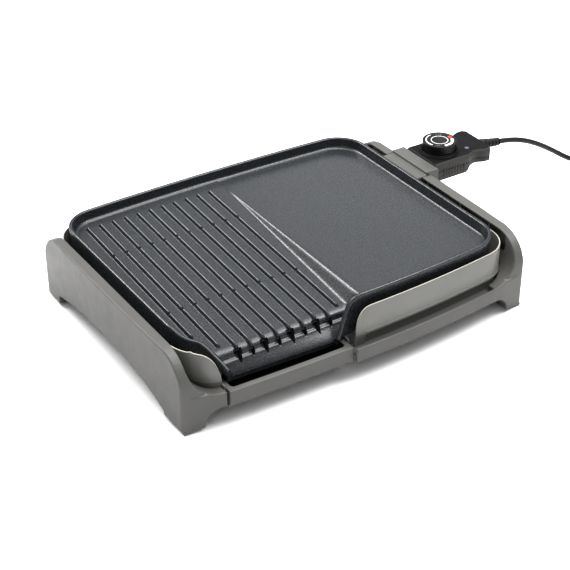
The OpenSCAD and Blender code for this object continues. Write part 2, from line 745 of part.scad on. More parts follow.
module dial_bezel() color(case_black) in_frame() translate([dial_x, axis_y, case_top + 0.02]) difference() {
    union() {
        cylinder(h = 1.6, r = dial_d / 2 + 3.4);
        cylinder(h = 3, r = dial_d / 2 + 1.8);
    }
    translate([0, 0, -1]) cylinder(h = 6, r = spindle_r + 1);
    translate([0, 0, 1.2]) cylinder(h = 6, r = dial_d / 2 + 0.3);
}

module dial_knob() color(case_black) in_frame() translate([dial_x, axis_y, case_top + 1.6]) difference() {
    union() {
        cylinder(h = 14, r = dial_d / 2 - 0.6);
        for (i = [0 : 35]) rotate([0, 0, i * 10])
            translate([dial_d / 2 - 0.8, 0, 0]) cylinder(h = 12, r = 0.7, $fn = 16);
    }
    translate([0, 0, -1]) cylinder(h = 12, r = dial_d / 2 - 3);
}

module dial_spindle() color(brass) in_frame() translate([dial_x, axis_y, 0]) {
    translate([0, 0, 78.2]) cylinder(h = case_top + 12.5 - 78.2, r = spindle_r);
    translate([0, 0, 85.7]) cylinder(h = 2, r = 5);
    translate([0, 0, case_top + 9]) cylinder(h = 3.6, r = 6);
}

// ---- lead, coil and plug ----

module strain_relief() color(case_black) in_frame()
    translate(relief_start) rotate([0, 90 + relief_tilt, 0]) {
    translate([0, 0, -6]) cylinder(h = 6.5, r = 7);
    translate([0, 0, 0.4]) cylinder(h = relief_len - 0.4, r1 = 6.4, r2 = 4.4);
    for (i = [0 : 3]) translate([0, 0, 4 + i * 8]) cylinder(h = 3, r = 7 - i * 0.55);
}

function unit(v) = v / norm(v);
function route_dir(route, i) = unit(route[min(i + 1, len(route) - 1)] - route[max(i - 1, 0)]);
function side_dir(d) = unit(cross(d, abs(d[2]) > 0.9 ? [1, 0, 0] : [0, 0, 1]));
function ring_points(route, i, r) =
    let (d = route_dir(route, i), s = side_dir(d), u = cross(s, d))
    [for (k = [0 : 9]) route[i] + r * (s * cos(k * 36) + u * sin(k * 36))];

// Round tube along a route of points.
module tube(route, r) {
    rings = len(route);
    points = [for (i = [0 : rings - 1]) each ring_points(route, i, r)];
    sides = [for (i = [0 : rings - 2], k = [0 : 9]) let (a = i * 10 + k, b = i * 10 + (k + 1) % 10)
             [a, b, b + 10, a + 10]];
    polyhedron(points, concat([[for (k = [9 : -1 : 0]) k]], sides,
                              [[for (k = [0 : 9]) (rings - 1) * 10 + k]]), convexity = 6);
}

module cord_lead() color(case_black) in_frame() tube(lead_route, lead_d / 2);
module cord_tail() color(case_black) in_frame() tube(tail_route, lead_d / 2);

module cord_coil() color(case_black) in_frame() translate([coil_x, coil_y, 0])
    rotate_extrude($fn = 96) translate([coil_r_in, 0]) square([coil_r_out - coil_r_in, 2 * lead_d]);

module coil_tie() color([0.25, 0.25, 0.25]) in_frame() translate([coil_x, coil_y, 0]) rotate([0, 0, 215])
    translate([coil_r_in - 1, -4, 0]) difference() {
        cube([coil_r_out - coil_r_in + 2.4, 8, 2 * lead_d + 1]);
        translate([0.95, -1, -1]) cube([coil_r_out - coil_r_in + 0.3, 10, 2 * lead_d + 1.05]);
    }

module plug_body() color(case_black) in_frame() translate([plug_x, plug_y, plug_z]) rotate([90, 0, 0]) {
    cylinder(h = plug_relief_len, r1 = 5, r2 = 8);
    translate([0, 0, plug_relief_len - eps]) cylinder(h = 12, r1 = 11, r2 = 17);
    translate([0, 0, plug_relief_len + 11]) cylinder(h = plug_body_len - 11, r = plug_r);
}

module plug_pins() color(steel) in_frame() translate([plug_x, plug_y, plug_z]) rotate([90, 0, 0])
    for (s = [-1, 1]) translate([s * plug_pitch / 2, 0, plug_relief_len + plug_body_len])
        cylinder(h = plug_pin_len, r = plug_pin_r);

left_end_panel();
right_end_panel();
front_rail();
rear_rail();
inner_shell();
heat_reflector();
plate_support_posts();
tray_guide_left();
tray_guide_right();
rubber_feet();
base_screws();
post_screws();
drip_tray();
cooking_plate();
plate_studs();
heating_element();
terminal_pins();
terminal_insulators();
probe_sleeve();
inlet_hood();
hood_screws();
earth_pin();
thermostat_upper_case();
thermostat_lower_case();
probe_tube();
contact_carrier();
contact_sleeves();
earth_spring();
switch_base();
bimetal_strip();
contact_leaf();
supply_terminals();
indicator_lamp();
indicator_lens();
cord_clamp();
case_screws();
dial_bezel();
dial_knob();
dial_spindle();
strain_relief();
cord_lead();
cord_coil();
coil_tie();
cord_tail();
plug_body();
plug_pins();
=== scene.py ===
"""Electric griddle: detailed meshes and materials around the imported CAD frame.

Shape constants are millimetres from the middle of the base (x), the front of its feet (y) and the
surface that it stands on (z). at() turns them into the row frame, with its datum read from the CAD.
"""

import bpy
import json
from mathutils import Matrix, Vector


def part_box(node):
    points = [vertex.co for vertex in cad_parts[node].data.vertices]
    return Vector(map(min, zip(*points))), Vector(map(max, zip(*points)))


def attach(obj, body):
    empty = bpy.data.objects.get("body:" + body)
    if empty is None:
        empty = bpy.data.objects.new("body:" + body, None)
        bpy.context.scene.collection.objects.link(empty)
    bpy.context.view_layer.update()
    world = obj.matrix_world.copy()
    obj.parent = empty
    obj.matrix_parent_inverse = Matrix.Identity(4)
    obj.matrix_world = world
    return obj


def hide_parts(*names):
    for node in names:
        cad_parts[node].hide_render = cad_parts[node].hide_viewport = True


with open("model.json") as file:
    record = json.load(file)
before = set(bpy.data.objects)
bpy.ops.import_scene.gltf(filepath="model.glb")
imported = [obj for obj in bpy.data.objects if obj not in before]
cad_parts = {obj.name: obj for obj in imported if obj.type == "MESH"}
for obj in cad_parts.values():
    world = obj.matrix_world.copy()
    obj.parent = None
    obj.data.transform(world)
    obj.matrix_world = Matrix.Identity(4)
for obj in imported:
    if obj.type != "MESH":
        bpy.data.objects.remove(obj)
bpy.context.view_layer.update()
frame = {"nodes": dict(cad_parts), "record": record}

import json
import math

import bmesh
import bpy
import numpy as np
from mathutils import Vector

MM = 0.001
MID_X = (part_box("left_end_panel")[0].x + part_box("right_end_panel")[1].x) / 2
FRONT_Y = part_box("front_rail")[0].y + 16 * MM
TAU = 2 * math.pi


def at(x, y, z):
    """A point of the row frame from millimetres about the base."""
    return Vector((MID_X + x * MM, FRONT_Y + y * MM, z * MM))


def at_all(points):
    p = np.asarray(points, float).reshape(-1, 3) * MM
    return p + np.array([MID_X, FRONT_Y, 0.0])


# ---- camera ----

CAMERA_AT = (-800.85, -1071.01, 971.99)
VIEW_DIRECTION = Vector((0.4570, 0.7060, -0.5419))
SENSOR = 36.0
LENS = 91.5

camera_data = bpy.data.cameras.new("camera")
camera = bpy.data.objects.new("camera", camera_data)
bpy.context.scene.collection.objects.link(camera)
camera.location = at(*CAMERA_AT)
camera.rotation_mode = "QUATERNION"
camera.rotation_quaternion = VIEW_DIRECTION.to_track_quat("-Z", "Y")
camera_data.lens = LENS
camera_data.sensor_width = SENSOR
camera_data.clip_end = 20
bpy.context.scene.camera = camera
bpy.context.scene.view_settings.view_transform = "Standard"
bpy.context.scene.view_settings.look = "Medium High Contrast"


# ---- mesh helpers ----

def catmull(points, per):
    """A smooth line through the points, with per steps between each two."""
    p = np.asarray(points, float)
    p = np.vstack([2 * p[0] - p[1], p, 2 * p[-1] - p[-2]])
    t = np.linspace(0, 1, per, endpoint=False)[:, None]
    out = []
    for a, b, c, d in zip(p[:-3], p[1:-2], p[2:-1], p[3:]):
        out.append(0.5 * (2 * b + (c - a) * t + (2 * a - 5 * b + 4 * c - d) * t**2
                          + (3 * b - a - 3 * c + d) * t**3))
    return np.vstack(out + [p[-2:-1]])


def quads(rows, cols, wrap_rows=False, wrap_cols=False, start=0):
    """Faces of a grid of rows by cols vertices."""
    r = np.arange(rows if wrap_rows else rows - 1)
    c = np.arange(cols if wrap_cols else cols - 1)
    i, j = np.meshgrid(r, c, indexing="ij")
    i2, j2 = (i + 1) % rows, (j + 1) % cols
    f = np.stack([i * cols + j, i * cols + j2, i2 * cols + j2, i2 * cols + j], -1)
    return (f.reshape(-1, 4) + start).tolist()


class Part:
    """Collects closed shells, in millimetres about the base, into one mesh."""

    def __init__(self):
        self.verts, self.faces, self.mats = [], [], []

    def add(self, verts, faces, mat=0):
        start = len(self.verts)
        self.verts.extend(np.asarray(verts, float).reshape(-1, 3).tolist())
        self.faces.extend([[v + start for v in f] for f in faces])
        self.mats.extend([mat] * len(faces))

    def sweep(self, sections, closed=False, mat=0):
        """A tube of equal closed sections, with caps unless the path itself is closed."""
        s = np.asarray(sections, float)
        rows, cols = s.shape[:2]
        f = quads(rows, cols, wrap_rows=closed, wrap_cols=True)
        if not closed:
            f.append(list(range(cols))[::-1])
            f.append([(rows - 1) * cols + k for k in range(cols)])
        self.add(s.reshape(-1, 3), f, mat)

    def lathe(self, profile, centre, axis=(0, 0, 1), steps=96, flute=0.0, flutes=0, mat=0):
        """Turns (radius, height) pairs about an axis. Flutes deepen where the third value is 1."""
        n = Vector(axis).normalized()
        q = Vector((0, 0, 1)).rotation_difference(n).to_matrix()
        rings = []
        for k in range(steps):
            a = TAU * k / steps
            cut = flute * (0.5 - 0.5 * math.cos(a * flutes)) if flutes else 0.0
            ring = []
            for p in profile:
                r = max(p[0] - (cut * p[2] if len(p) > 2 else 0.0), 0.0)
                ring.append(list(Vector(centre) + q @ Vector((r * math.cos(a), r * math.sin(a), p[1]))))
            rings.append(ring)
        self.add(np.array(rings).reshape(-1, 3), quads(steps, len(profile), wrap_rows=True), mat)

    def make(self, name, materials, angle=38.0, merge=0.0005):
        mesh = bpy.data.meshes.new(name)
        mesh.from_pydata(at_all(self.verts).tolist(), [], self.faces)
        for m in materials:
            mesh.materials.append(m)
        mesh.polygons.foreach_set("material_index", self.mats)
        bm = bmesh.new()
        bm.from_mesh(mesh)
        bmesh.ops.remove_doubles(bm, verts=bm.verts, dist=merge * MM)
        bmesh.ops.dissolve_degenerate(bm, dist=merge * MM, edges=bm.edges)
        bmesh.ops.recalc_face_normals(bm, faces=bm.faces)
        bm.to_mesh(mesh)
        bm.free()
        return finish_mesh(name, mesh, angle)


def finish_mesh(name, mesh, angle):
    mesh.polygons.foreach_set("use_smooth", [True] * len(mesh.polygons))
    mesh.set_sharp_from_angle(angle=math.radians(angle))
    obj = bpy.data.objects.new(name, mesh)
    bpy.context.scene.collection.objects.link(obj)
    return obj


def place(obj, body, slot, *replaced):
    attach(obj, body)
    if replaced:
        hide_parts(*replaced)
    return obj


def softened(name, nodes, voxel, passes, material, reach=None, cuts=()):
    """Copies CAD nodes into one mesh and rounds its edges, for moulded pieces.

    reach(co) may move the points first, after level cuts at the heights given in cuts.
    """
    bm = bmesh.new()
    for n in nodes:
        bm.from_mesh(frame["nodes"][n].data)
    for z in cuts:
        bmesh.ops.bisect_plane(bm, geom=bm.verts[:] + bm.edges[:] + bm.faces[:], plane_co=(0, 0, z * MM),
                               plane_no=(0, 0, 1))
    if reach:
        for v in bm.verts:
            reach(v.co)
    mesh = bpy.data.meshes.new(name)
    bm.to_mesh(mesh)
    bm.free()
    obj = bpy.data.objects.new(name, mesh)
    bpy.context.scene.collection.objects.link(obj)
    remesh = obj.modifiers.new("remesh", "REMESH")
    remesh.mode = "VOXEL"
    remesh.voxel_size = voxel * MM
    smooth = obj.modifiers.new("smooth", "SMOOTH")
    smooth.factor = 0.5
    smooth.iterations = passes
    thin = obj.modifiers.new("thin", "DECIMATE")
    thin.ratio = 0.45
    bpy.context.view_layer.update()
    done = bpy.data.meshes.new_from_object(obj.evaluated_get(bpy.context.evaluated_depsgraph_get()))
    bpy.data.objects.remove(obj)
    done.name = name
    done.materials.clear()
    done.materials.append(material)
    return finish_mesh(name, done, 60)


# ---- materials ----

class Nodes:
    """A principled material with a few chained helpers."""

    def __init__(self, name, color, roughness, metallic=0.0, specular=0.5, **fixed):
        self.mat = bpy.data.materials.new(name)
        self.mat.use_nodes = True
        self.tree = self.mat.node_tree
        self.bsdf = self.tree.nodes["Principled BSDF"]
        self.put("Base Color", (*color, 1.0))
        self.put("Roughness", roughness)
        self.put("Metallic", metallic)
        self.put("Specular IOR Level", specular)
        for key, value in fixed.items():
            self.put(key.replace("_", " ").title(), value)
        self.coords = self.node("ShaderNodeTexCoord").outputs["Object"]
        self.normal = None

    def put(self, socket, value):
        self.bsdf.inputs[socket].default_value = value

    def node(self, kind, **values):
        n = self.tree.nodes.new(kind)
        for k, v in values.items():
            if hasattr(n, k):
                setattr(n, k, v)
            else:
                n.inputs[k.replace("_", " ")].default_value = v
        return n

    def link(self, a, b):
        self.tree.links.new(a, b)

    def noise(self, scale, detail=2.0, rough=0.5, stretch=None):
        n = self.node("ShaderNodeTexNoise", Scale=scale, Detail=detail, Roughness=rough)
        self.link(self.stretched(stretch), n.inputs["Vector"])
        return n.outputs["Fac"]

    def stretched(self, stretch):
        if not stretch:
            return self.coords
        m = self.node("ShaderNodeMapping")
        m.inputs["Scale"].default_value = stretch
        self.link(self.coords, m.inputs["Vector"])
        return m.outputs["Vector"]

    def ramp(self, source, stops):
        """Maps a value through (position, colour or grey) stops."""
        n = self.node("ShaderNodeValToRGB")
        e = n.color_ramp.elements
        while len(e) < len(stops):
            e.new(0.5)
        for item, (pos, c) in zip(e, stops):
            item.position = pos
            item.color = (c, c, c, 1) if isinstance(c, (int, float)) else (*c, 1)
        self.link(source, n.inputs["Fac"])
        return n.outputs["Color"]

    def mix(self, fac, a, b):
        """Mixes two colours; a, b and fac are sockets or values."""
        n = self.node("ShaderNodeMix", data_type="RGBA")
        for socket, value in ((n.inputs[0], fac), (n.inputs[6], a), (n.inputs[7], b)):
            if isinstance(value, bpy.types.NodeSocket):
                self.link(value, socket)
            else:
                socket.default_value = value if isinstance(value, (int, float)) else (*value, 1)
        return n.outputs[2]

    def edge(self, low=0.54, high=0.62):
        """White along convex edges, for wear and rubbed corners; with low bounds it also marks creases,
        where the coating gets painted shade.
        """
        g = self.node("ShaderNodeNewGeometry").outputs["Pointiness"]
        return self.ramp(g, [(low, 0.0), (high, 1.0)])

    def color(self, socket):
        self.link(socket, self.bsdf.inputs["Base Color"])

    def rough(self, socket):
        self.link(socket, self.bsdf.inputs["Roughness"])

    def bump(self, height, strength, distance):
        n = self.node("ShaderNodeBump", Strength=strength, Distance=distance * MM)
        self.link(height, n.inputs["Height"])
        if self.normal is not None:
            self.link(self.normal, n.inputs["Normal"])
        self.normal = n.outputs["Normal"]
        self.link(self.normal, self.bsdf.inputs["Normal"])


def scaled(color, k):
    return tuple(min(c * k, 1.0) for c in color)


def moulded(name, color, roughness, grain=900.0, strength=0.12, specular=0.5, wear=1.25, tint=0.10):
    """Moulded plastic or sprayed paint: fine grain, faint mottling and paler rubbed edges."""
    m = Nodes(name, color, roughness, specular=specular)
    mottle = m.noise(14.0, 4.0, 0.6)
    tone = m.ramp(mottle, [(0.3, scaled(color, 1 - tint)), (0.7, scaled(color, 1 + tint))])
    fine = m.noise(grain, 2.0, 0.6)
    grainy = m.mix(0.5, tone, m.ramp(fine, [(0.3, scaled(color, 0.93)), (0.7, scaled(color, 1.07))]))
    m.color(m.mix(m.edge(), grainy, scaled(color, wear)))
    m.rough(m.ramp(m.noise(60.0, 3.0, 0.6), [(0.3, roughness - 0.05), (0.7, roughness + 0.06)]))
    m.bump(fine, strength, 0.03)
    m.bump(m.noise(grain * 0.35, 2.0, 0.5), strength * 0.7, 0.04)
    return m.mat


def coated(name, color, roughness):
    """Speckled non-stick coating on a sand-cast looking surface, with painted shade in its corners and
    creases.
    """
    m = Nodes(name, color, roughness, specular=0.55)
    fine = m.ramp(m.noise(700.0, 2.0, 0.65),
                  [(0.36, scaled(color, 0.3)), (0.52, color), (0.66, scaled(color, 3.4))])
    cloud = m.ramp(m.noise(9.0, 3.0, 0.6), [(0.3, scaled(color, 0.85)), (0.7, scaled(color, 1.2))])
    worn = m.mix(m.edge(0.55, 0.66), m.mix(0.65, cloud, fine), scaled(color, 1.4))
    # Painted shade: low pointiness (corners, creases and the rib walls) darkens the colour to a fifth.
    m.color(m.mix(m.edge(0.40, 0.49), scaled(color, 0.2), worn))
    m.rough(m.ramp(m.noise(600.0, 2.0, 0.6), [(0.32, roughness - 0.08), (0.68, roughness + 0.12)]))
    m.bump(m.noise(700.0, 2.0, 0.6), 0.30, 0.07)
    return m.mat


def metal(name, color, roughness, lines=(400.0, 400.0, 30.0), heat=None, strength=0.15):
    """Drawn or stamped metal: fine streaks, uneven gloss and an optional heat tint."""
    m = Nodes(name, color, roughness, metallic=1.0)
    streak = m.noise(12.0, 3.0, 0.6, stretch=lines)
    tone = m.ramp(streak, [(0.3, scaled(color, 0.86)), (0.7, scaled(color, 1.08))])
    if heat:
        tone = m.mix(m.ramp(m.noise(18.0, 2.0, 0.5), [(0.42, 0.0), (0.62, 0.8)]), tone, heat)
    m.color(m.mix(m.edge(), tone, scaled(color, 1.15)))
    m.rough(m.ramp(m.noise(90.0, 3.0, 0.6), [(0.3, roughness - 0.06), (0.7, roughness + 0.1)]))
    m.bump(streak, strength, 0.02)
    return m.mat


def glassy(name, color, roughness, transmission):
    """Tinted translucent plastic or glass with faint streaks."""
    m = Nodes(name, color, roughness, transmission_weight=transmission)
    m.color(m.ramp(m.noise(200.0, 2.0, 0.5), [(0.3, scaled(color, 0.85)), (0.7, scaled(color, 1.1))]))
    m.rough(m.ramp(m.noise(150.0, 2.0, 0.5), [(0.3, roughness), (0.7, roughness + 0.08)]))
    m.bump(m.noise(300.0, 1.0, 0.5), 0.08, 0.03)
    return m.mat


HOUSING = (0.092, 0.091, 0.086)
SHELL = (0.150, 0.149, 0.141)
NONSTICK = (0.0155, 0.0178, 0.0205)
BLACK = (0.008, 0.008, 0.009)

MATERIALS = {
    "housing": moulded("housing_paint", HOUSING, 0.40, grain=1400, strength=0.10, specular=0.32, wear=1.3),
    "shell": moulded("shell_paint", SHELL, 0.38, grain=1400, strength=0.08, wear=1.5),
    "reflector": metal("rolled_aluminium", (0.72, 0.73, 0.74), 0.34, (20.0, 400.0, 400.0)),
    "bakelite": moulded("phenolic", (0.030, 0.022, 0.018), 0.45, grain=700),
    "rubber": moulded("foot_rubber", scaled(HOUSING, 0.75), 0.75, grain=1200, strength=0.25),
    "screw": metal("zinc_plate", (0.56, 0.57, 0.58), 0.30),
    "nonstick": coated("non_stick", NONSTICK, 0.30),
    "cast": coated("cast_coating", scaled(NONSTICK, 0.9), 0.5),
    "element": metal("heat_tinted_sheath", (0.36, 0.33, 0.30), 0.42, heat=(0.22, 0.13, 0.10)),
    "terminal": metal("nickel_plate", (0.66, 0.66, 0.62), 0.22),
    "ceramic": moulded("steatite", (0.72, 0.68, 0.58), 0.62, grain=1100, strength=0.3, wear=1.1),
    "tube": metal("drawn_stainless", (0.60, 0.60, 0.60), 0.24, (8.0, 400.0, 400.0)),
    "brass": metal("stamped_brass", (0.70, 0.50, 0.20), 0.28),
    "bimetal": metal("rolled_bimetal", (0.48, 0.40, 0.32), 0.35, (8.0, 400.0, 400.0)),
    "case": moulded("spark_eroded_black", BLACK, 0.50, grain=1600, strength=0.12, specular=0.12, wear=2.2),
    "lamp": glassy("neon_glass", (0.9, 0.28, 0.12), 0.12, 0.7),
    "lens": glassy("lamp_lens", (0.13, 0.13, 0.19), 0.25, 0.25),
    "dial": moulded("dial_black", (0.009, 0.009, 0.010), 0.40, grain=1800, strength=0.10, specular=0.25,
                    wear=2.0),
    "lead": moulded("flex_rubber", (0.011, 0.011, 0.012), 0.50, grain=1500, strength=0.22, specular=0.3,
                    wear=1.6),
    "tie": moulded("coated_tie", (0.05, 0.05, 0.05), 0.5, grain=1200, strength=0.2),
    "plug": moulded("plug_black", (0.012, 0.012, 0.013), 0.44, grain=1500, strength=0.25, wear=2.0),
}
CREAM = moulded("shell_cut_edge", (0.46, 0.44, 0.37), 0.5, grain=1400, wear=1.1)
# Painted shade: near black for the inside of the tray, which lies in shadow under the plate.
TRAY_SHADE = moulded("tray_inside_painted_shade", (0.012, 0.012, 0.012), 0.5, grain=1200, strength=0.2, wear=1.2)
PRINT_WHITE = moulded("print_white", (0.62, 0.62, 0.61), 0.5, grain=1500, wear=1.05, tint=0.04)
PRINT_GREY = moulded("print_grey", (0.16, 0.16, 0.17), 0.5, grain=1500, wear=1.05, tint=0.04)
PRINT_RED = moulded("print_red", (0.62, 0.045, 0.020), 0.45, grain=1500, wear=1.05, tint=0.04)

for node, obj in frame["nodes"].items():
    chosen = next(s["material_slot"] for s in frame["record"]["subparts"] if s["node"] == node)
    obj.data.materials.clear()
    obj.data.materials.append(MATERIALS[chosen])
    bevel = obj.modifiers.new("soft_edges", "BEVEL")
    bevel.width = 0.35 * MM
    bevel.segments = 2
    bevel.limit_method = "ANGLE"
    bevel.angle_limit = math.radians(40)
    bevel.use_clamp_overlap = True


# ---- lead, coil, tie and plug ----

LEAD_R = 3.5
RELIEF_START = (343.5, 229.0, 89.0)
RELIEF_TILT = math.radians(8)
LEAD_ROUTE = [(352, 229, 87.8), (366, 229, 85.85), (381.1, 229, 83.7), (395, 229, 81.5), (410, 229, 78),
              (425, 229, 73), (440, 229, 66.5), (455, 229, 58.5), (470, 229, 49.5), (484, 229, 40.5),
              (498, 229, 31), (512, 229, 22), (526, 229, 14.5), (541, 229, 8.5), (556, 229, 4.8),
              (575, 229, 3.5)]
TAIL_ROUTE = [(617.5, 186.5, 10.5), (620, 172, 7.5), (622, 158, 5), (623, 144, 4), (624, 130, 5.5),
              (624, 116, 9.5), (624, 102, 14.5), (624, 90, 18), (624, 80, 19)]
COIL_AT = (575.0, 186.5)
COIL_IN, COIL_OUT = 35.5, 42.5
COIL_LOW, COIL_HIGH = 3.5, 10.5
COIL_TURNS = 3.25
COIL_STEPS = 36


def ease(t, a, b):
    """0 before a, 1 after b, smooth between."""
    s = min(max((t - a) / (b - a), 0.0), 1.0)
    return s * s * (3 - 2 * s)


def coil_point(turn):
    """Where the coil is after that many turns: out and in along the floor, up, and out again on top."""
    radius = COIL_OUT - (COIL_OUT - COIL_IN) * (ease(turn, 0.72, 0.95) - ease(turn, 2.40, 2.68))
    z = COIL_LOW + (COIL_HIGH - COIL_LOW) * ease(turn, 1.55, 1.82)
    z += 0.9 * (ease(turn, 2.80, 2.92) - ease(turn, 3.02, 3.15))
    a = math.pi / 2 - TAU * turn
    return (COIL_AT[0] + radius * math.cos(a), COIL_AT[1] + radius * math.sin(a), z)


coil_route = [coil_point(k / COIL_STEPS) for k in range(1, int(COIL_TURNS * COIL_STEPS))]
cord_path = catmull(LEAD_ROUTE + coil_route + TAIL_ROUTE, 3)


def tube_sections(path, radius, sides=20, bead=None):
    """Round sections along a path, carried without twist. bead(i) may scale a section."""
    p = np.asarray(path, float)
    d = np.gradient(p, axis=0)
    d /= np.linalg.norm(d, axis=1)[:, None]
    side = np.cross(d[0], (0, 0, 1.0))
    out = []
    for i, (c, t) in enumerate(zip(p, d)):
        side = side - t * (side @ t)
        side /= np.linalg.norm(side)
        up = np.cross(side, t)
        a = np.arange(sides) * TAU / sides
        r = radius * (bead(i) if bead else 1.0)
        out.append(c + r * (np.cos(a)[:, None] * side + np.sin(a)[:, None] * up))
    return np.array(out)


flex = Part()
flex.sweep(tube_sections(cord_path, LEAD_R))
flex = flex.make("mains_lead", [MATERIALS["lead"]])
place(flex, "thermostat", "lead", "cord_lead", "cord_coil", "cord_tail")

relief = Part()
relief_axis = Vector((math.cos(RELIEF_TILT), 0, -math.sin(RELIEF_TILT)))
relief_profile = [(0, -5.5), (6.6, -5.5), (6.9, -5.0), (6.9, 1.2), (6.2, 1.8), (5.3, 2.4), (5.2, 4.2)]
for k in range(5):
    base, r = 5.0 + k * 6.2, 6.9 - 0.34 * k
    relief_profile += [(r - 0.5, base), (r, base + 0.5), (r, base + 3.0), (r - 0.5, base + 3.5),
                       (r - 1.7, base + 4.0), (r - 1.75, base + 5.6)]
relief_profile += [(5.2, 36.0), (4.9, 37.4), (4.0, 38.0), (3.2, 38.0)]
relief.lathe(relief_profile, RELIEF_START, relief_axis, steps=48)
relief = relief.make("strain_relief_boot", [MATERIALS["lead"]])
place(relief, "thermostat", "lead", "strain_relief")

TIE_ANGLE = math.radians(219)
TIE_MID = (39.0, 7.15)       # middle of the wound turns: radius in the coil, and height
tie = Part()
tie_loop = []
for a in range(28):
    u, v = math.cos(TAU * a / 28), math.sin(TAU * a / 28)
    tie_loop.append((TIE_MID[0] + 8.6 * math.copysign(abs(u) ** 0.45, u),
                     TIE_MID[1] + 8.0 * math.copysign(abs(v) ** 0.45, v)))
tie_sections = []
for w, grow in ((-3.6, 0.0), (-3.2, 0.35), (3.2, 0.35), (3.6, 0.0)):
    section = []
    for r, z in tie_loop:
        r = TIE_MID[0] + (r - TIE_MID[0]) * (1 + grow * 0.04)
        section.append((COIL_AT[0] + r * math.cos(TIE_ANGLE) - w * math.sin(TIE_ANGLE),
                        COIL_AT[1] + r * math.sin(TIE_ANGLE) + w * math.cos(TIE_ANGLE), max(z, 0.15)))
    tie_sections.append(section)
outer = np.array(tie_sections)
centre_line = outer.mean(axis=1, keepdims=True)
inner = centre_line + (outer - centre_line) * 0.90
band = np.concatenate([outer, inner[::-1]])
tie.add(band.reshape(-1, 3), quads(8, 28, wrap_rows=True, wrap_cols=True))
tie = tie.make("lead_tie", [MATERIALS["tie"]])
place(tie, "thermostat", "tie", "coil_tie")

PLUG_AT = (624.0, 80.0, 19.0)
plug = Part()
plug_profile = [(0, -1.0), (4.6, -1.0), (5.2, -0.4)]
for k in range(4):
    base, r = 1.5 + k * 5.4, 5.6 + 0.7 * k
    plug_profile += [(r, base), (r + 0.4, base + 0.6), (r + 0.4, base + 2.6), (r, base + 3.2),
                     (r - 1.0, base + 3.8), (r - 0.9, base + 4.8)]
plug_profile += [(9.2, 24.5), (11.5, 26.5), (14.2, 30.0), (16.6, 34.5), (18.2, 39.0), (18.9, 43.0)]
plug_profile += [(18.9, 46.0, 1), (18.8, 50.0, 1), (18.8, 56.0, 1), (18.9, 60.0), (18.9, 64.4), (18.3, 65.7),
                 (17.2, 66.0), (0, 66.0)]
plug.lathe(plug_profile, PLUG_AT, (0, -1, 0), steps=96, flute=0.9, flutes=24)
plug = plug.make("mains_plug", [MATERIALS["plug"]])
place(plug, "thermostat", "plug", "plug_body")


# ---- floor and light ----

SKY_LOW = 0.07
SKY_STRENGTH = 1.05

floor_mesh = bpy.data.meshes.new("floor")
FLOOR_HALF = 6.0
floor_mesh.from_pydata([(-FLOOR_HALF, -FLOOR_HALF, 0), (FLOOR_HALF, -FLOOR_HALF, 0),
                        (FLOOR_HALF, FLOOR_HALF, 0), (-FLOOR_HALF, FLOOR_HALF, 0)], [], [(0, 1, 2, 3)])
floor = bpy.data.objects.new("floor", floor_mesh)
bpy.context.scene.collection.objects.link(floor)
floor_material = Nodes("floor_paper", (0.93, 0.93, 0.93), 0.9, specular=0.1)
floor_mesh.materials.append(floor_material.mat)

world = bpy.data.worlds.new("studio")
bpy.context.scene.world = world
world.use_nodes = True
sky = world.node_tree
height = sky.nodes.new("ShaderNodeSeparateXYZ")
glow = sky.nodes.new("ShaderNodeValToRGB")
sky.links.new(sky.nodes.new("ShaderNodeTexCoord").outputs["Generated"], height.inputs[0])
sky.links.new(height.outputs["Z"], glow.inputs["Fac"])
sky.links.new(glow.outputs["Color"], sky.nodes["Background"].inputs["Color"])
for stop, position, level in zip(glow.color_ramp.elements, (0.05, 0.85), (SKY_LOW, 1.0)):
    stop.position, stop.color = position, (level, level, level, 1)
sky.nodes["Background"].inputs["Strength"].default_value = SKY_STRENGTH


def softbox(name, place_at, look_at, size, power, color=(1, 1, 1)):
    data = bpy.data.lights.new(name, "AREA")
    data.shape = "RECTANGLE"
    data.size, data.size_y = size
    data.energy = power
    data.color = color
    light = bpy.data.objects.new(name, data)
    bpy.context.scene.collection.objects.link(light)
    light.location = place_at
    light.rotation_mode = "QUATERNION"
    light.rotation_quaternion = (Vector(look_at) - Vector(place_at)).to_track_quat("-Z", "Y")
    return light


softbox("overhead", (0.45, 0.1, 1.9), (0, 0, 0.05), (1.5, 1.1), 29)
softbox("back_strip", (-0.75, 1.4, 1.45), (-0.15, 0, 0.07), (0.8, 0.8), 34)
softbox("back_right", (1.3, 1.7, 1.1), (0.05, 0, 0.07), (0.8, 0.6), 1.5)
softbox("front_right", (0.95, -0.6, 1.6), (-0.1, -0.15, 0.06), (0.7, 0.5), 16)
softbox("fill_left", (-2.0, -1.1, 0.9), (-0.2, 0, 0.05), (1.0, 1.0), 3)

# ---- cooking plate ----

RIM_Z = 97.0
FLAT_Z = 83.0
RIBBED_Z0, RIBBED_SLOPE = 66.2, 0.052
RIB_COUNT, RIB_PITCH, FIRST_RIB_X = 11, 16.935, -14.4
RIB_HEIGHT = 4.5
RIB_REAR = 320.0
RIB_FRONTS = {0: 36.0, 9: 40.0, 10: 68.0}
RIB_ODD_FRONT, RIB_EVEN_FRONT = 30.5, 26.5   # where the other ribs end, unrolled over the front edge
GAP_ROWS = (118.3, 249.3)
SLAB = 4.0


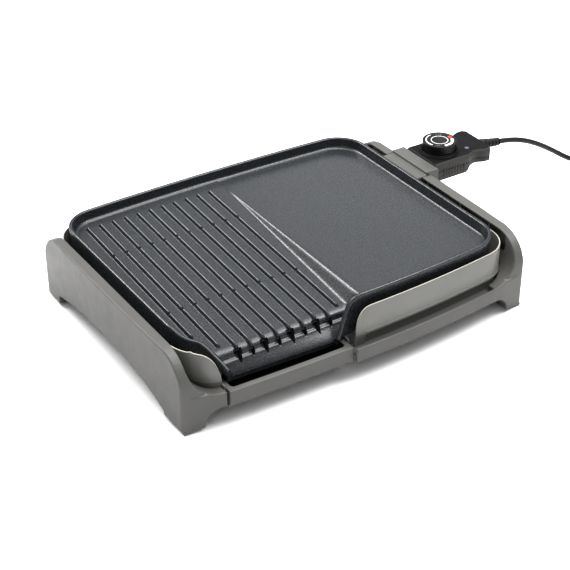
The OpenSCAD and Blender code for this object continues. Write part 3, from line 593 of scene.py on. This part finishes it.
def outline(half, front, rear, corner, front_r, rear_r):
    """Right half of a closed outline, from the front centre to the rear centre, as (x, y)."""
    cx = half - corner
    cyf = front + front_r - math.sqrt((front_r - corner) ** 2 - cx * cx)
    cyr = rear - rear_r + math.sqrt((rear_r - corner) ** 2 - cx * cx)
    af = math.atan2(cyf - front - front_r, cx)
    ar = math.atan2(cyr - rear + rear_r, cx)
    pts = [(front_r * math.cos(a), front + front_r + front_r * math.sin(a))
           for a in np.linspace(-math.pi / 2, af, 14)]
    pts += [(cx + corner * math.cos(a), cyf + corner * math.sin(a))
            for a in np.linspace(af, 0, 18)[1:]]
    pts += [(half, y) for y in np.linspace(cyf, cyr, 16)[1:]]
    pts += [(cx + corner * math.cos(a), cyr + corner * math.sin(a))
            for a in np.linspace(0, ar, 18)[1:]]
    pts += [(rear_r * math.cos(a), rear - rear_r + rear_r * math.sin(a))
            for a in np.linspace(ar, math.pi / 2, 14)[1:]]
    return pts


# Unrolled front edge of the ribbed floor: (y, z) from the last level point over the edge to the lip.
EDGE_START = 36.0
fall = catmull([(40, 68.28), (36, 68.0), (33.2, 67.5), (30.6, 66.2), (28.7, 64.2), (27.7, 61.9),
                (27.1, 60.2), (26.0, 59.3), (24.3, 58.9), (22.9, 58.2), (21.7, 56.8), (19.0, 54.6),
                (15.6, 52.0), (12.4, 49.4), (10.2, 47.2), (9.1, 45.2), (9.3, 43.4)], 6)[6:]
LIP_SKEW = 5.5          # how much further back the lip ends at its left than at its right
fall_len = np.concatenate([[0], np.cumsum(np.linalg.norm(np.diff(fall, axis=0), axis=1))])
FALL_END = EDGE_START - fall_len[-1]


def floor_profile(u):
    """Point and upward normal (y, z) of the ribbed floor at an unrolled distance u."""
    if u >= EDGE_START:
        return np.array([u, RIBBED_Z0 + RIBBED_SLOPE * u]), np.array([-RIBBED_SLOPE, 1.0])
    s = EDGE_START - u
    p = np.array([np.interp(s, fall_len, fall[:, 0]), np.interp(s, fall_len, fall[:, 1])])
    a = np.array([np.interp(s - 0.4, fall_len, fall[:, k]) for k in (0, 1)])
    b = np.array([np.interp(s + 0.4, fall_len, fall[:, k]) for k in (0, 1)])
    t = (b - a) / max(np.linalg.norm(b - a), 1e-9)
    return p, np.array([t[1], -t[0]])


def plate_rows():
    """Unrolled distances of the floor's grid from rear to front, close together at rib ends and gaps."""
    rows = list(np.arange(342.5, 327, -3.0)) + list(np.arange(325.6, 313, -0.9))
    rows += list(np.arange(311, 256, -6))
    for centre, nxt in ((GAP_ROWS[1], 124.0), (GAP_ROWS[0], 74.0)):
        rows += [centre + d for d in (4.5, 3.2, 2.4, 1.8, 1.3, 0.9, 0.45, 0,
                                      -0.45, -0.9, -1.3, -1.8, -2.4, -3.2)]
        rows += list(np.arange(centre - 6, nxt, -6))
    rows += list(np.arange(72.5, EDGE_START, -0.95)) + list(np.linspace(EDGE_START, FALL_END, 62))
    return rows


RIB_SIDES = (-3.7, -3.0, -2.5, -2.2, -1.8, -1.4, -1.0, -0.5, 0, 0.5, 1.0, 1.4, 1.8, 2.2, 2.5, 3.0, 3.7)
RIB_SHAPE = ((0, 1.0), (0.5, 0.96), (1.0, 0.87), (1.4, 0.75),
             (1.8, 0.56), (2.2, 0.24), (2.5, 0.05), (3.0, 0.0))
DIVIDER_TOP = 9.2        # top edge of the step up to the flat half
DIVIDER_RUN = 0.84       # run of the step for each mm of rise
DIVIDER = ((-0.28, 0.0), (-0.1, 0.02), (0.06, 0.09), (0.2, 0.21),
           (0.8, 0.78), (0.94, 0.9), (1.1, 0.975), (1.3, 1.0))


def step_share(x, u):
    """Share of the flat half's level at a place: 0 on the ribbed floor, 1 on the flat half."""
    rise = max(FLAT_Z - RIBBED_Z0 - RIBBED_SLOPE * max(u, EDGE_START), 0.8)
    return float(np.interp((x - DIVIDER_TOP) / (rise * DIVIDER_RUN) + 1, *zip(*DIVIDER)))


def plate_columns():
    """Positions across the floor's grid, close together at the ribs and the step."""
    cols = [-208.5, -205, -201.5, -198, -195, -192.5, -190.3]
    for i in range(RIB_COUNT - 1, -1, -1):
        x = FIRST_RIB_X - i * RIB_PITCH
        cols += [x + d for d in (-6.9, -6.0, -5.0, -4.3)] + [x + d for d in RIB_SIDES] + [x + 5.2]
    cols += list(np.arange(FIRST_RIB_X + 6.3, 12.8, 1.0)) + list(np.arange(15.0, 209.0, 4.3)) + [208.5]
    return cols


def rib_height(x, u):
    """Rise of the ribs, with their rounded ends, small gaps and the drain slots at their front ends."""
    i = round((FIRST_RIB_X - x) / RIB_PITCH)
    if not 0 <= i < RIB_COUNT:
        return 0.0
    dx = x - (FIRST_RIB_X - i * RIB_PITCH)
    big = i % 2 == 0
    front = RIB_FRONTS.get(i, RIB_ODD_FRONT if big else RIB_EVEN_FRONT)
    beyond = max(front + 2.2 - u, u - RIB_REAR + 2.2, 0.0)
    d = math.hypot(dx, beyond)
    rise = RIB_HEIGHT * np.interp(d, *zip(*RIB_SHAPE))
    for row in GAP_ROWS:
        rise *= 1 - 0.85 * math.exp(-(((u - row) / 1.05) ** 2))
    if i in RIB_FRONTS:
        return rise
    half, depth, low = (4.4, 8.5, 12.0) if big else (3.3, 6.5, 15.5)
    taper = ease(u, low, front - 4)
    across = max(0.0, 1 - (abs(dx) / (0.6 + (half - 0.6) * taper)) ** 7)
    along = ease(u, low, low + 5) * (1 - ease(u, front - 0.8, front + 0.4))
    return rise - depth * across * along


def plate_top(x, u):
    """A point of the upper surface at column x and unrolled row u, and the level without ribs."""
    p, n = floor_profile(u)
    if p[0] < 22 and x < -36:
        p = p + np.array([LIP_SKEW * min((-36 - x) / 129, 1.0) * (22 - p[0]) / 13, 0.0])
    share = step_share(x, u)
    flat_y = u if u >= EDGE_START else 7.0 + (EDGE_START - 7.0) * (u - FALL_END) / (EDGE_START - FALL_END)
    base = (1 - share) * p + share * np.array([flat_y, FLAT_Z])
    rise = rib_height(x, u) if share < 0.01 else 0.0
    return (x, *(base + n * rise)), (x, *(base + n * min(rise, 0.0)))


# Path of the rim: the right lip end, up to the front rim, round the plate and down to the left lip end.
half_path = outline(210.0, 9.9, 344.6, 40.0, 1900.0, 3600.0)
right_s = [(-36, 5.2, 50.5), (-33.2, 5.8, 56), (-29.2, 7.2, 64.5), (-24.6, 9.2, 73), (-20.2, 10.8, 81),
           (-16.4, 11.7, 87), (-11.8, 11.6, 91.8), (-6, 10.9, 95.0), (0, 10.3, 96.6), (7, 10.0, 97)]
left_s = [(-210, 84, 97), (-210, 75, 97), (-209.4, 67.5, 96.7), (-207.2, 59, 94.2), (-203, 52, 90.5),
          (-197, 47, 87.2), (-190.5, 44, 84.4), (-186, 40, 81), (-182.6, 34.5, 76.8), (-178.8, 27, 70.8),
          (-175.0, 18.5, 64.6), (-171.6, 11.0, 58.6)]
plain = [(x, y, RIM_Z) for x, y in half_path if x > 14] \
    + [(-x, y, RIM_Z) for x, y in half_path[::-1] if x > 0.5 and y > 92]
rim_path = np.vstack([catmull(right_s, 5), plain, catmull(left_s, 5)])
mask_poly = np.vstack([rim_path[:, :2], [(-170.5, -6), (-36, -6)]])


def inside(x, y):
    """True if (x, y) is inside the rim's path."""
    px, py = mask_poly[:, 0], mask_poly[:, 1]
    qx, qy = np.roll(px, -1), np.roll(py, -1)
    crosses = ((py > y) != (qy > y)) & (x < (qx - px) * (y - py) / (qy - py + 1e-12) + px)
    return crosses.sum() % 2 == 1


def floor_level(x, y):
    """Height of the plate's floor near a point of the plan."""
    if y < EDGE_START:
        s = fall[:, 1][np.argmin(np.abs(fall[:, 0] - y))]
    else:
        s = RIBBED_Z0 + RIBBED_SLOPE * y
    share = step_share(x, y)
    return (1 - share) * s + share * FLAT_Z


RIM_ROLL = ((2.3, -3.4), (2.5, -2.1), (2.3, -1.1), (1.6, -0.35), (0.6, 0.0),
            (-0.6, 0.0), (-1.6, -0.35), (-2.3, -1.1), (-2.55, -2.1))


def rim_sections():
    """Closed sections of the rim: rolled top, inner wall with a fillet, and the outer skirt."""
    p = rim_path
    d = np.gradient(p, axis=0)
    out = []
    for c, t in zip(p, d):
        t = t / np.linalg.norm(t)
        level = math.hypot(t[0], t[1])
        n = np.array([t[1], -t[0], 0]) / level
        up = np.array([-t[2] * t[0] / level, -t[2] * t[1] / level, level])
        ring = [c + o * n + h * up for o, h in RIM_ROLL]
        base = floor_level(c[0] - 5 * n[0], c[1] - 5 * n[1])
        room = max(c[2] - base, 0.5)
        low = min(base - 5.0, 62.0)
        for o, z in ((-3.1, base + min(4.6, 0.60 * room)), (-3.7, base + min(2.2, 0.35 * room)),
                     (-4.9, base + min(0.9, 0.15 * room)), (-7.0, base + 0.12), (-8.6, base - 0.5),
                     (-7.0, base - 3.6), (-2.6, base - 3.9), (-2.2, low + 0.6), (-1.6, low),
                     (0.1, low), (0.7, low + 0.8)):
            ring.append(np.array([c[0] + o * n[0], c[1] + o * n[1], z]))
        ring.append(ring[0] * 0.5 + ring[-1] * 0.5 + 0.05 * n)
        out.append(ring)
    return out


plate = Part()
plate.sweep(rim_sections())
rows_u, cols_x = plate_rows(), plate_columns()
tops = [[plate_top(x, u) for x in cols_x] for u in rows_u]
keep = np.array([[inside(t[0][0], t[0][1]) for t in row] for row in tops])
cells = [(i, j) for i in range(len(rows_u) - 1) for j in range(len(cols_x) - 1)
         if keep[i, j] and keep[i + 1, j] and keep[i, j + 1] and keep[i + 1, j + 1]]
count = len(rows_u) * len(cols_x)
slab_verts = [t[0] for row in tops for t in row]
slab_verts += [(t[1][0], t[1][1] + (0.0 if u > EDGE_START else 0.8), t[1][2] - SLAB)
               for u, row in zip(rows_u, tops) for t in row]
edge_use, slab_faces = {}, []
for i, j in cells:
    a, b = i * len(cols_x) + j, i * len(cols_x) + j + 1
    c, d = b + len(cols_x), a + len(cols_x)
    slab_faces += [[d, c, b, a], [a + count, b + count, c + count, d + count]]
    for e in ((a, b), (b, c), (c, d), (d, a)):
        key = (min(e), max(e))
        edge_use[key] = None if key in edge_use else e
slab_faces += [[e[0], e[1], e[1] + count, e[0] + count] for e in edge_use.values() if e]
used = sorted({v for f in slab_faces for v in f})
renumber = {v: k for k, v in enumerate(used)}
plate.add([slab_verts[v] for v in used], [[renumber[v] for v in f] for f in slab_faces])
plate = plate.make("cooking_plate_cast", [MATERIALS["nonstick"]], angle=50)
place(plate, "plate", "nonstick", "cooking_plate")


# ---- housing, shell and tray ----

panel_left = softened("left_end_panel_moulding", ["left_end_panel"], 0.85, 10, MATERIALS["housing"])
place(panel_left, "base", "housing", "left_end_panel")


RAIL_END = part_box("front_rail")[1].x


def lap_rail(co):
    """Runs the front rail's end into the corner of the end panel, so that the two are one moulding."""
    if abs(co.x - RAIL_END) < 0.5 * MM:
        co.x += 2 * MM


panel_right = softened("right_end_panel_moulding", ["right_end_panel", "front_rail"], 0.85, 10,
                       MATERIALS["housing"], lap_rail)
place(panel_right, "base", "housing", "right_end_panel", "front_rail")
rear_bar = softened("rear_rail_moulding", ["rear_rail"], 1.1, 6, MATERIALS["housing"])
place(rear_bar, "base", "housing", "rear_rail")
hood = softened("inlet_hood_moulding", ["inlet_hood"], 0.7, 8, MATERIALS["housing"])
place(hood, "plate", "housing", "inlet_hood")

SHELL_TOP = 85.0
SHELL_FOOT = 36.2
BEAD_Z = 51.0
shell_half = outline(222.5, -1.5, 352.5, 42.0, 1500.0, 1500.0)
shell_left_end = [(-222.5, 78, 85), (-221.8, 62, 85), (-219.6, 48, 85), (-215.2, 36.5, 85),
                  (-209.2, 27, 85.4), (-204, 21, 85), (-199.5, 16.5, 84.2), (-195.2, 13, 81.4),
                  (-191.2, 10.6, 76.8), (-187.6, 9, 69.8), (-184.6, 8.2, 62), (-182.9, 8.0, 55),
                  (-182.2, 8.0, 46)]
shell_right_end = [(-14.0, -1.4, 46), (-13.6, -1.4, 58), (-12.6, -1.4, 67), (-10.6, -1.4, 73.6),
                   (-7.4, -1.45, 79), (-3.2, -1.45, 82.6), (1.5, -1.5, 84.4), (7, -1.5, 85)]
NIB = (-209.5, 27.4)         # small nib on the upper edge of the left end
NOTCH_Y = (191.5, 266.5)     # the inlet hood passes through the right side of the wall here
NOTCH_Z = 65.5


def with_notch(path):
    """Adds points to the right side of the path, so that the notch for the hood has upright edges."""
    out = []
    for a, b in zip(path, path[1:]):
        out.append(a)
        for y in [edge + d for edge in NOTCH_Y for d in (-0.1, 0.1)]:
            if a[0] > 200 and a[1] < y < b[1]:
                out.append(a + (b - a) * (y - a[1]) / (b[1] - a[1]))
    return np.array(out + [path[-1]])


def shell_sections():
    """Thin wall with a pale cut edge at the top and a small bead above its set-back foot."""
    path = np.vstack([catmull(shell_right_end, 4), [(x, y, SHELL_TOP) for x, y in shell_half if x > 9],
                      [(-x, y, SHELL_TOP) for x, y in shell_half[::-1] if x > 0.5 and y > 84],
                      catmull(shell_left_end, 5)])
    path = with_notch(path)
    d = np.gradient(path[:, :2], axis=0)
    out = []
    for (x, y, top), t in zip(path, d / np.linalg.norm(d, axis=1)[:, None]):
        n = np.array([t[1], -t[0]])
        bead = 0.0 if x < -20 and y < 50 else (ease(y, 50, 110) if x < 0 else 1.0)
        if x > 200 and NOTCH_Y[0] < y < NOTCH_Y[1]:
            top = NOTCH_Z
        top += 1.3 * math.exp(-((x - NIB[0]) ** 2 + (y - NIB[1]) ** 2) / 3.5)
        ring = []
        for o, z in ((-1.0, top), (-0.35, top - 0.15), (0.0, top - 0.7), (0.0, BEAD_Z + 3),
                     (0.1, BEAD_Z + 1.6), (0.7, BEAD_Z + 0.9), (1.0, BEAD_Z), (0.7, BEAD_Z - 0.9),
                     (-0.6, BEAD_Z - 1.5),
                     (-2.6, BEAD_Z - 2.0), (-2.8, SHELL_FOOT), (-4.8, SHELL_FOOT), (-4.8, BEAD_Z - 1),
                     (-2.0, BEAD_Z + 2.6), (-2.0, top - 0.7), (-1.65, top - 0.15)):
            if z < BEAD_Z + 3:
                o = o * bead if o > -3 else -2.0 + (o + 2.0) * bead
            ring.append((x + o * n[0], y + o * n[1], max(min(z, top), SHELL_FOOT)))
        out.append(ring)
    return out


shell_rings = np.array(shell_sections())
shell = Part()
shell.sweep(shell_rings)
side_count = shell_rings.shape[1]
CUT_EDGE, FOOT = 1, 2        # material indices of the pale upper edge and the set-back foot
for k, f in enumerate(shell.faces):
    ks = {v % side_count for v in f}
    if len(f) == 4 and ks <= {0, 1, 15}:
        shell.mats[k] = CUT_EDGE
    # The set-back foot takes painted shade: a darker grey for the shadow in the recess above the rail.
    elif len(f) == 4 and min(ks) >= 8 and max(ks) <= 12:
        shell.mats[k] = FOOT

# Floor of the shell, with three vents at the rear and the screw holes of the four posts.
FLOOR_TOP = 48.0
floor_half = outline(220.5, 0.6, 350.4, 40.0, 1500.0, 1500.0)
ring = [(x, y) for x, y in floor_half] + [(-x, y) for x, y in floor_half[::-1][1:-1]]
corner_x, corner_y = zip(*[(x, y) for x, y, z in shell_left_end])
ring = [(x, max(y, float(np.interp(x, corner_x, corner_y)) + 2.5, 25.0 if x > -184 else y) if x < -12 else y)
        for x, y in ring]
holes = [(x, 330.0, 6.0) for x in (-150, 0, 150)] + [(x, y, 2.4) for x in (-165, 165) for y in (75, 300)]


def pan(ring, holes, low, high):
    """A flat sheet with round holes, as a triangulated closed shell."""
    bm = bmesh.new()
    loops = [ring] + [[(x + r * math.cos(TAU * k / 24), y + r * math.sin(TAU * k / 24)) for k in range(24)]
                      for x, y, r in holes]
    edges = []
    for loop in loops:
        vs = [bm.verts.new((x, y, high)) for x, y in loop]
        edges += [bm.edges.new((vs[k - 1], vs[k])) for k in range(len(vs))]
    bmesh.ops.triangle_fill(bm, edges=edges, use_beauty=True)
    made = bmesh.ops.extrude_face_region(bm, geom=bm.faces[:])
    bmesh.ops.translate(bm, verts=[v for v in made["geom"] if isinstance(v, bmesh.types.BMVert)],
                        vec=(0, 0, low - high))
    bm.verts.index_update()
    verts, faces = [v.co[:] for v in bm.verts], [[v.index for v in f.verts] for f in bm.faces]
    bm.free()
    return verts, faces


shell.add(*pan(ring, holes, FLOOR_TOP - 2, FLOOR_TOP))
# Painted shade: the shell's colour darkened, for the shadow in the recess at the foot.
SHADOW_GREY = moulded("shell_foot_painted_shade", scaled(SHELL, 0.62), 0.55, grain=1200)
shell = shell.make("inner_shell_moulding", [MATERIALS["shell"], CREAM, SHADOW_GREY], angle=45)
place(shell, "base", "shell", "inner_shell")

TRAY_L, TRAY_R = -180.5, -22.6
TRAY_TOP, TRAY_BOTTOM, TRAY_BACK = 43.0, 24.0, 108.0
TRAY_RIM, TRAY_WALL = 8.0, 2.2


def tray_front(x):
    return -9.8 + (x - TRAY_R) ** 2 / 6400


def rounded_loop(left, right, front, back, radius, steps=7):
    """Plan loop with a bowed front and rounded corners, counter-clockwise from the front left."""
    loop = []
    for cx, cy, a0 in ((left + radius, None, 180), (right - radius, None, 270),
                       (right - radius, back - radius, 0), (left + radius, back - radius, 90)):
        if a0 == 270:
            loop += [(x, front(x)) for x in np.linspace(left + radius, right - radius, 22)[1:-1]]
        for a in np.radians(np.linspace(a0, a0 + 90, steps)):
            base = cy if cy is not None else front(cx) + radius
            loop.append((cx + radius * math.cos(a), base + radius * math.sin(a)))
    return loop


def tray_loop(inset, rim, radius):
    """Plan of the tray, set in by inset at its sides and back and by rim at its front."""
    return rounded_loop(TRAY_L + inset, TRAY_R - inset, lambda x: tray_front(x) + rim, TRAY_BACK - inset,
                        radius)


# Each level is its inset, its inset at the front, its corner radius and its height.
tray_levels = [(2.4, 2.4, 2.0, TRAY_BOTTOM), (0.5, 0.5, 1.0, TRAY_BOTTOM + 0.1),
               (0.1, 0.1, 0.9, TRAY_BOTTOM + 0.5), (0.0, 0.0, 0.8, TRAY_BOTTOM + 1.2),
               (0.0, 0.0, 0.8, TRAY_TOP - 1.3), (0.15, 0.15, 0.9, TRAY_TOP - 0.6),
               (0.5, 0.5, 1.1, TRAY_TOP - 0.15), (1.0, 1.0, 1.4, TRAY_TOP)]
inner_levels = [(TRAY_WALL + 3.2, TRAY_RIM - 1.2, 4.6, TRAY_TOP),
                (TRAY_WALL + 3.8, TRAY_RIM - 0.4, 4.8, TRAY_TOP - 0.3),
                (TRAY_WALL + 4.0, TRAY_RIM, 5.0, TRAY_TOP - 1.0),
                (TRAY_WALL + 4.6, TRAY_RIM + 0.6, 5.4, TRAY_BOTTOM + 6),
                (TRAY_WALL + 5.6, TRAY_RIM + 1.6, 5.0, TRAY_BOTTOM + 3.2),
                (TRAY_WALL + 8.5, TRAY_RIM + 4.5, 4.0, TRAY_BOTTOM + 2.2)]
levels = [[(x, y, z) for x, y in tray_loop(i, r, c)] for i, r, c, z in tray_levels + inner_levels]
tray = Part()
cols = len(levels[0])
tray.add(np.array(levels).reshape(-1, 3), quads(len(levels), cols, wrap_cols=True))
first_inner = len(tray_levels)
# The faces inside the tray take the painted shade.
for k, f in enumerate(tray.faces):
    if min(f) // cols >= first_inner + 1:
        tray.mats[k] = 1
tray.faces += [list(range(cols))[::-1], [(len(levels) - 1) * cols + k for k in range(cols)]]
tray.mats += [0, 1]
tray = tray.make("drip_tray_moulding", [MATERIALS["housing"], TRAY_SHADE], angle=40)
place(tray, "tray", "housing", "drip_tray")


# ---- thermostat ----

CASE_TOP = 99.0
DIAL_AT = (279.0, 229.0)
DIAL_TURN = math.radians(-32.9)      # the dial's zero, turned from the row's +X axis
top_edge = at(0, 0, CASE_TOP).z
DIAL_LINE = at(0, DIAL_AT[1], 0).y


def chamfer(co):
    """Leans the top edge of the case inwards along both sides."""
    if co.z > top_edge - 0.2 * MM and abs(co.y - DIAL_LINE) > 22 * MM:
        co.y += 2.6 * MM if co.y < DIAL_LINE else -2.6 * MM


case_top = softened("thermostat_upper_moulding", ["thermostat_upper_case"], 0.62, 4, MATERIALS["case"],
                    chamfer, [CASE_TOP - 3.6])
place(case_top, "thermostat", "case", "thermostat_upper_case")
case_low = softened("thermostat_lower_moulding", ["thermostat_lower_case"], 0.62, 4, MATERIALS["case"])
place(case_low, "thermostat", "case", "thermostat_lower_case")
# Painted light: the upright faces of the case get a paler material than its top, for the light falling on
# its sides.
CASE_SIDE_LIT = moulded("case_side_painted_light", (0.036, 0.035, 0.032), 0.55, grain=1300, strength=0.25, specular=0.3,
                    wear=1.7)
for piece in (case_top, case_low):
    piece.data.materials.append(CASE_SIDE_LIT)
    for face in piece.data.polygons:
        if abs(face.normal.z) < 0.8:
            face.material_index = 1

bezel = Part()
bezel.lathe([(19.6, 99.03), (25.2, 99.03), (25.5, 99.3), (25.5, 99.8), (25.2, 100.25), (24.7, 100.6),
             (24.4, 100.9), (24.2, 101.8), (24.0, 102.5), (23.5, 102.8), (23.0, 102.6), (22.8, 101.6),
             (22.7, 100.3), (19.6, 100.3)], (*DIAL_AT, 0))
bezel = bezel.make("dial_bezel_ring", [MATERIALS["case"]], angle=50)
place(bezel, "thermostat", "case", "dial_bezel")

knob = Part()
knob.lathe([(18.6, 100.7), (21.6, 100.7), (22.0, 101.1, 1), (22.1, 102.0, 1), (21.9, 110.6, 1),
            (22.0, 111.2), (22.1, 112.0), (22.1, 113.4), (21.9, 114.1), (21.4, 114.5), (20.6, 114.6),
            (19.9, 114.45), (19.6, 114.1), (19.3, 114.0), (9.6, 114.0), (9.2, 113.9), (8.6, 113.45),
            (7.6, 113.2), (0.0, 113.1)], (*DIAL_AT, 0), steps=216, flute=0.45, flutes=54)
knob.lathe([(18.6, 100.7), (18.2, 101.0), (18.2, 111.4), (17.6, 111.8), (0.0, 111.8)], (*DIAL_AT, 0),
           steps=72)


def mark(part, a0, a1, r0, r1, mat, z=114.0):
    """One printed segment of the dial, from a0 to a1 degrees past the dial's zero, between two radii."""
    steps = max(2, int((a1 - a0) / 3))
    verts = []
    for lift in (-0.05, 0.16):
        for r in (r0, r1):
            for a in np.radians(np.linspace(a0, a1, steps + 1)) + DIAL_TURN:
                verts.append((DIAL_AT[0] + r * math.cos(a), DIAL_AT[1] + r * math.sin(a), z + lift))
    n = steps + 1
    faces = []
    for k in range(steps):
        faces += [[k, k + 1, n + k + 1, n + k], [2 * n + k, 3 * n + k, 3 * n + k + 1, 2 * n + k + 1],
                  [k, 2 * n + k, 2 * n + k + 1, k + 1], [n + k, n + k + 1, 3 * n + k + 1, 3 * n + k]]
    faces += [[0, n, 3 * n, 2 * n], [n - 1, 3 * n - 1, 4 * n - 1, 2 * n - 1]]
    part.add(verts, faces, mat)


prints = Part()
for k in range(24):
    mark(prints, k * 15, (k + 1) * 15, 10.3, 11.4, 0)
for k in range(7):
    mark(prints, 127 + k * 15.14, 127 + (k + 1) * 15.14, 16.9 - 0.1 * k, 18.3, 0)
for k in range(5):
    mark(prints, -70 + k * 17.6, -70 + k * 17.6 + 14.2, 14.6, 18.5, 0)
mark(prints, 21, 41, 14.2, 18.8, 2)
for a in (80, 90, 100, -94, -102, -110):
    mark(prints, a - 1.6, a + 1.6, 15.4, 17.4, 1)
prints = prints.make("dial_marks", [PRINT_WHITE, PRINT_GREY, PRINT_RED], angle=30)
place(prints, "dial", "dial")
knob = knob.make("dial_knob_moulding", [MATERIALS["dial"]], angle=50)
place(knob, "dial", "dial", "dial_knob")

lens = Part()
lens.lathe([(0.0, 94.3), (4.0, 94.3), (4.0, 96.5), (3.0, 96.7), (3.0, 99.1), (2.85, 99.35), (2.5, 99.5),
            (1.2, 99.75), (0.0, 99.8)], (314.0, DIAL_AT[1] - 14.0, 0), steps=40)
lens = lens.make("indicator_lens_cap", [MATERIALS["lens"]], angle=40)
place(lens, "thermostat", "lens", "indicator_lens")
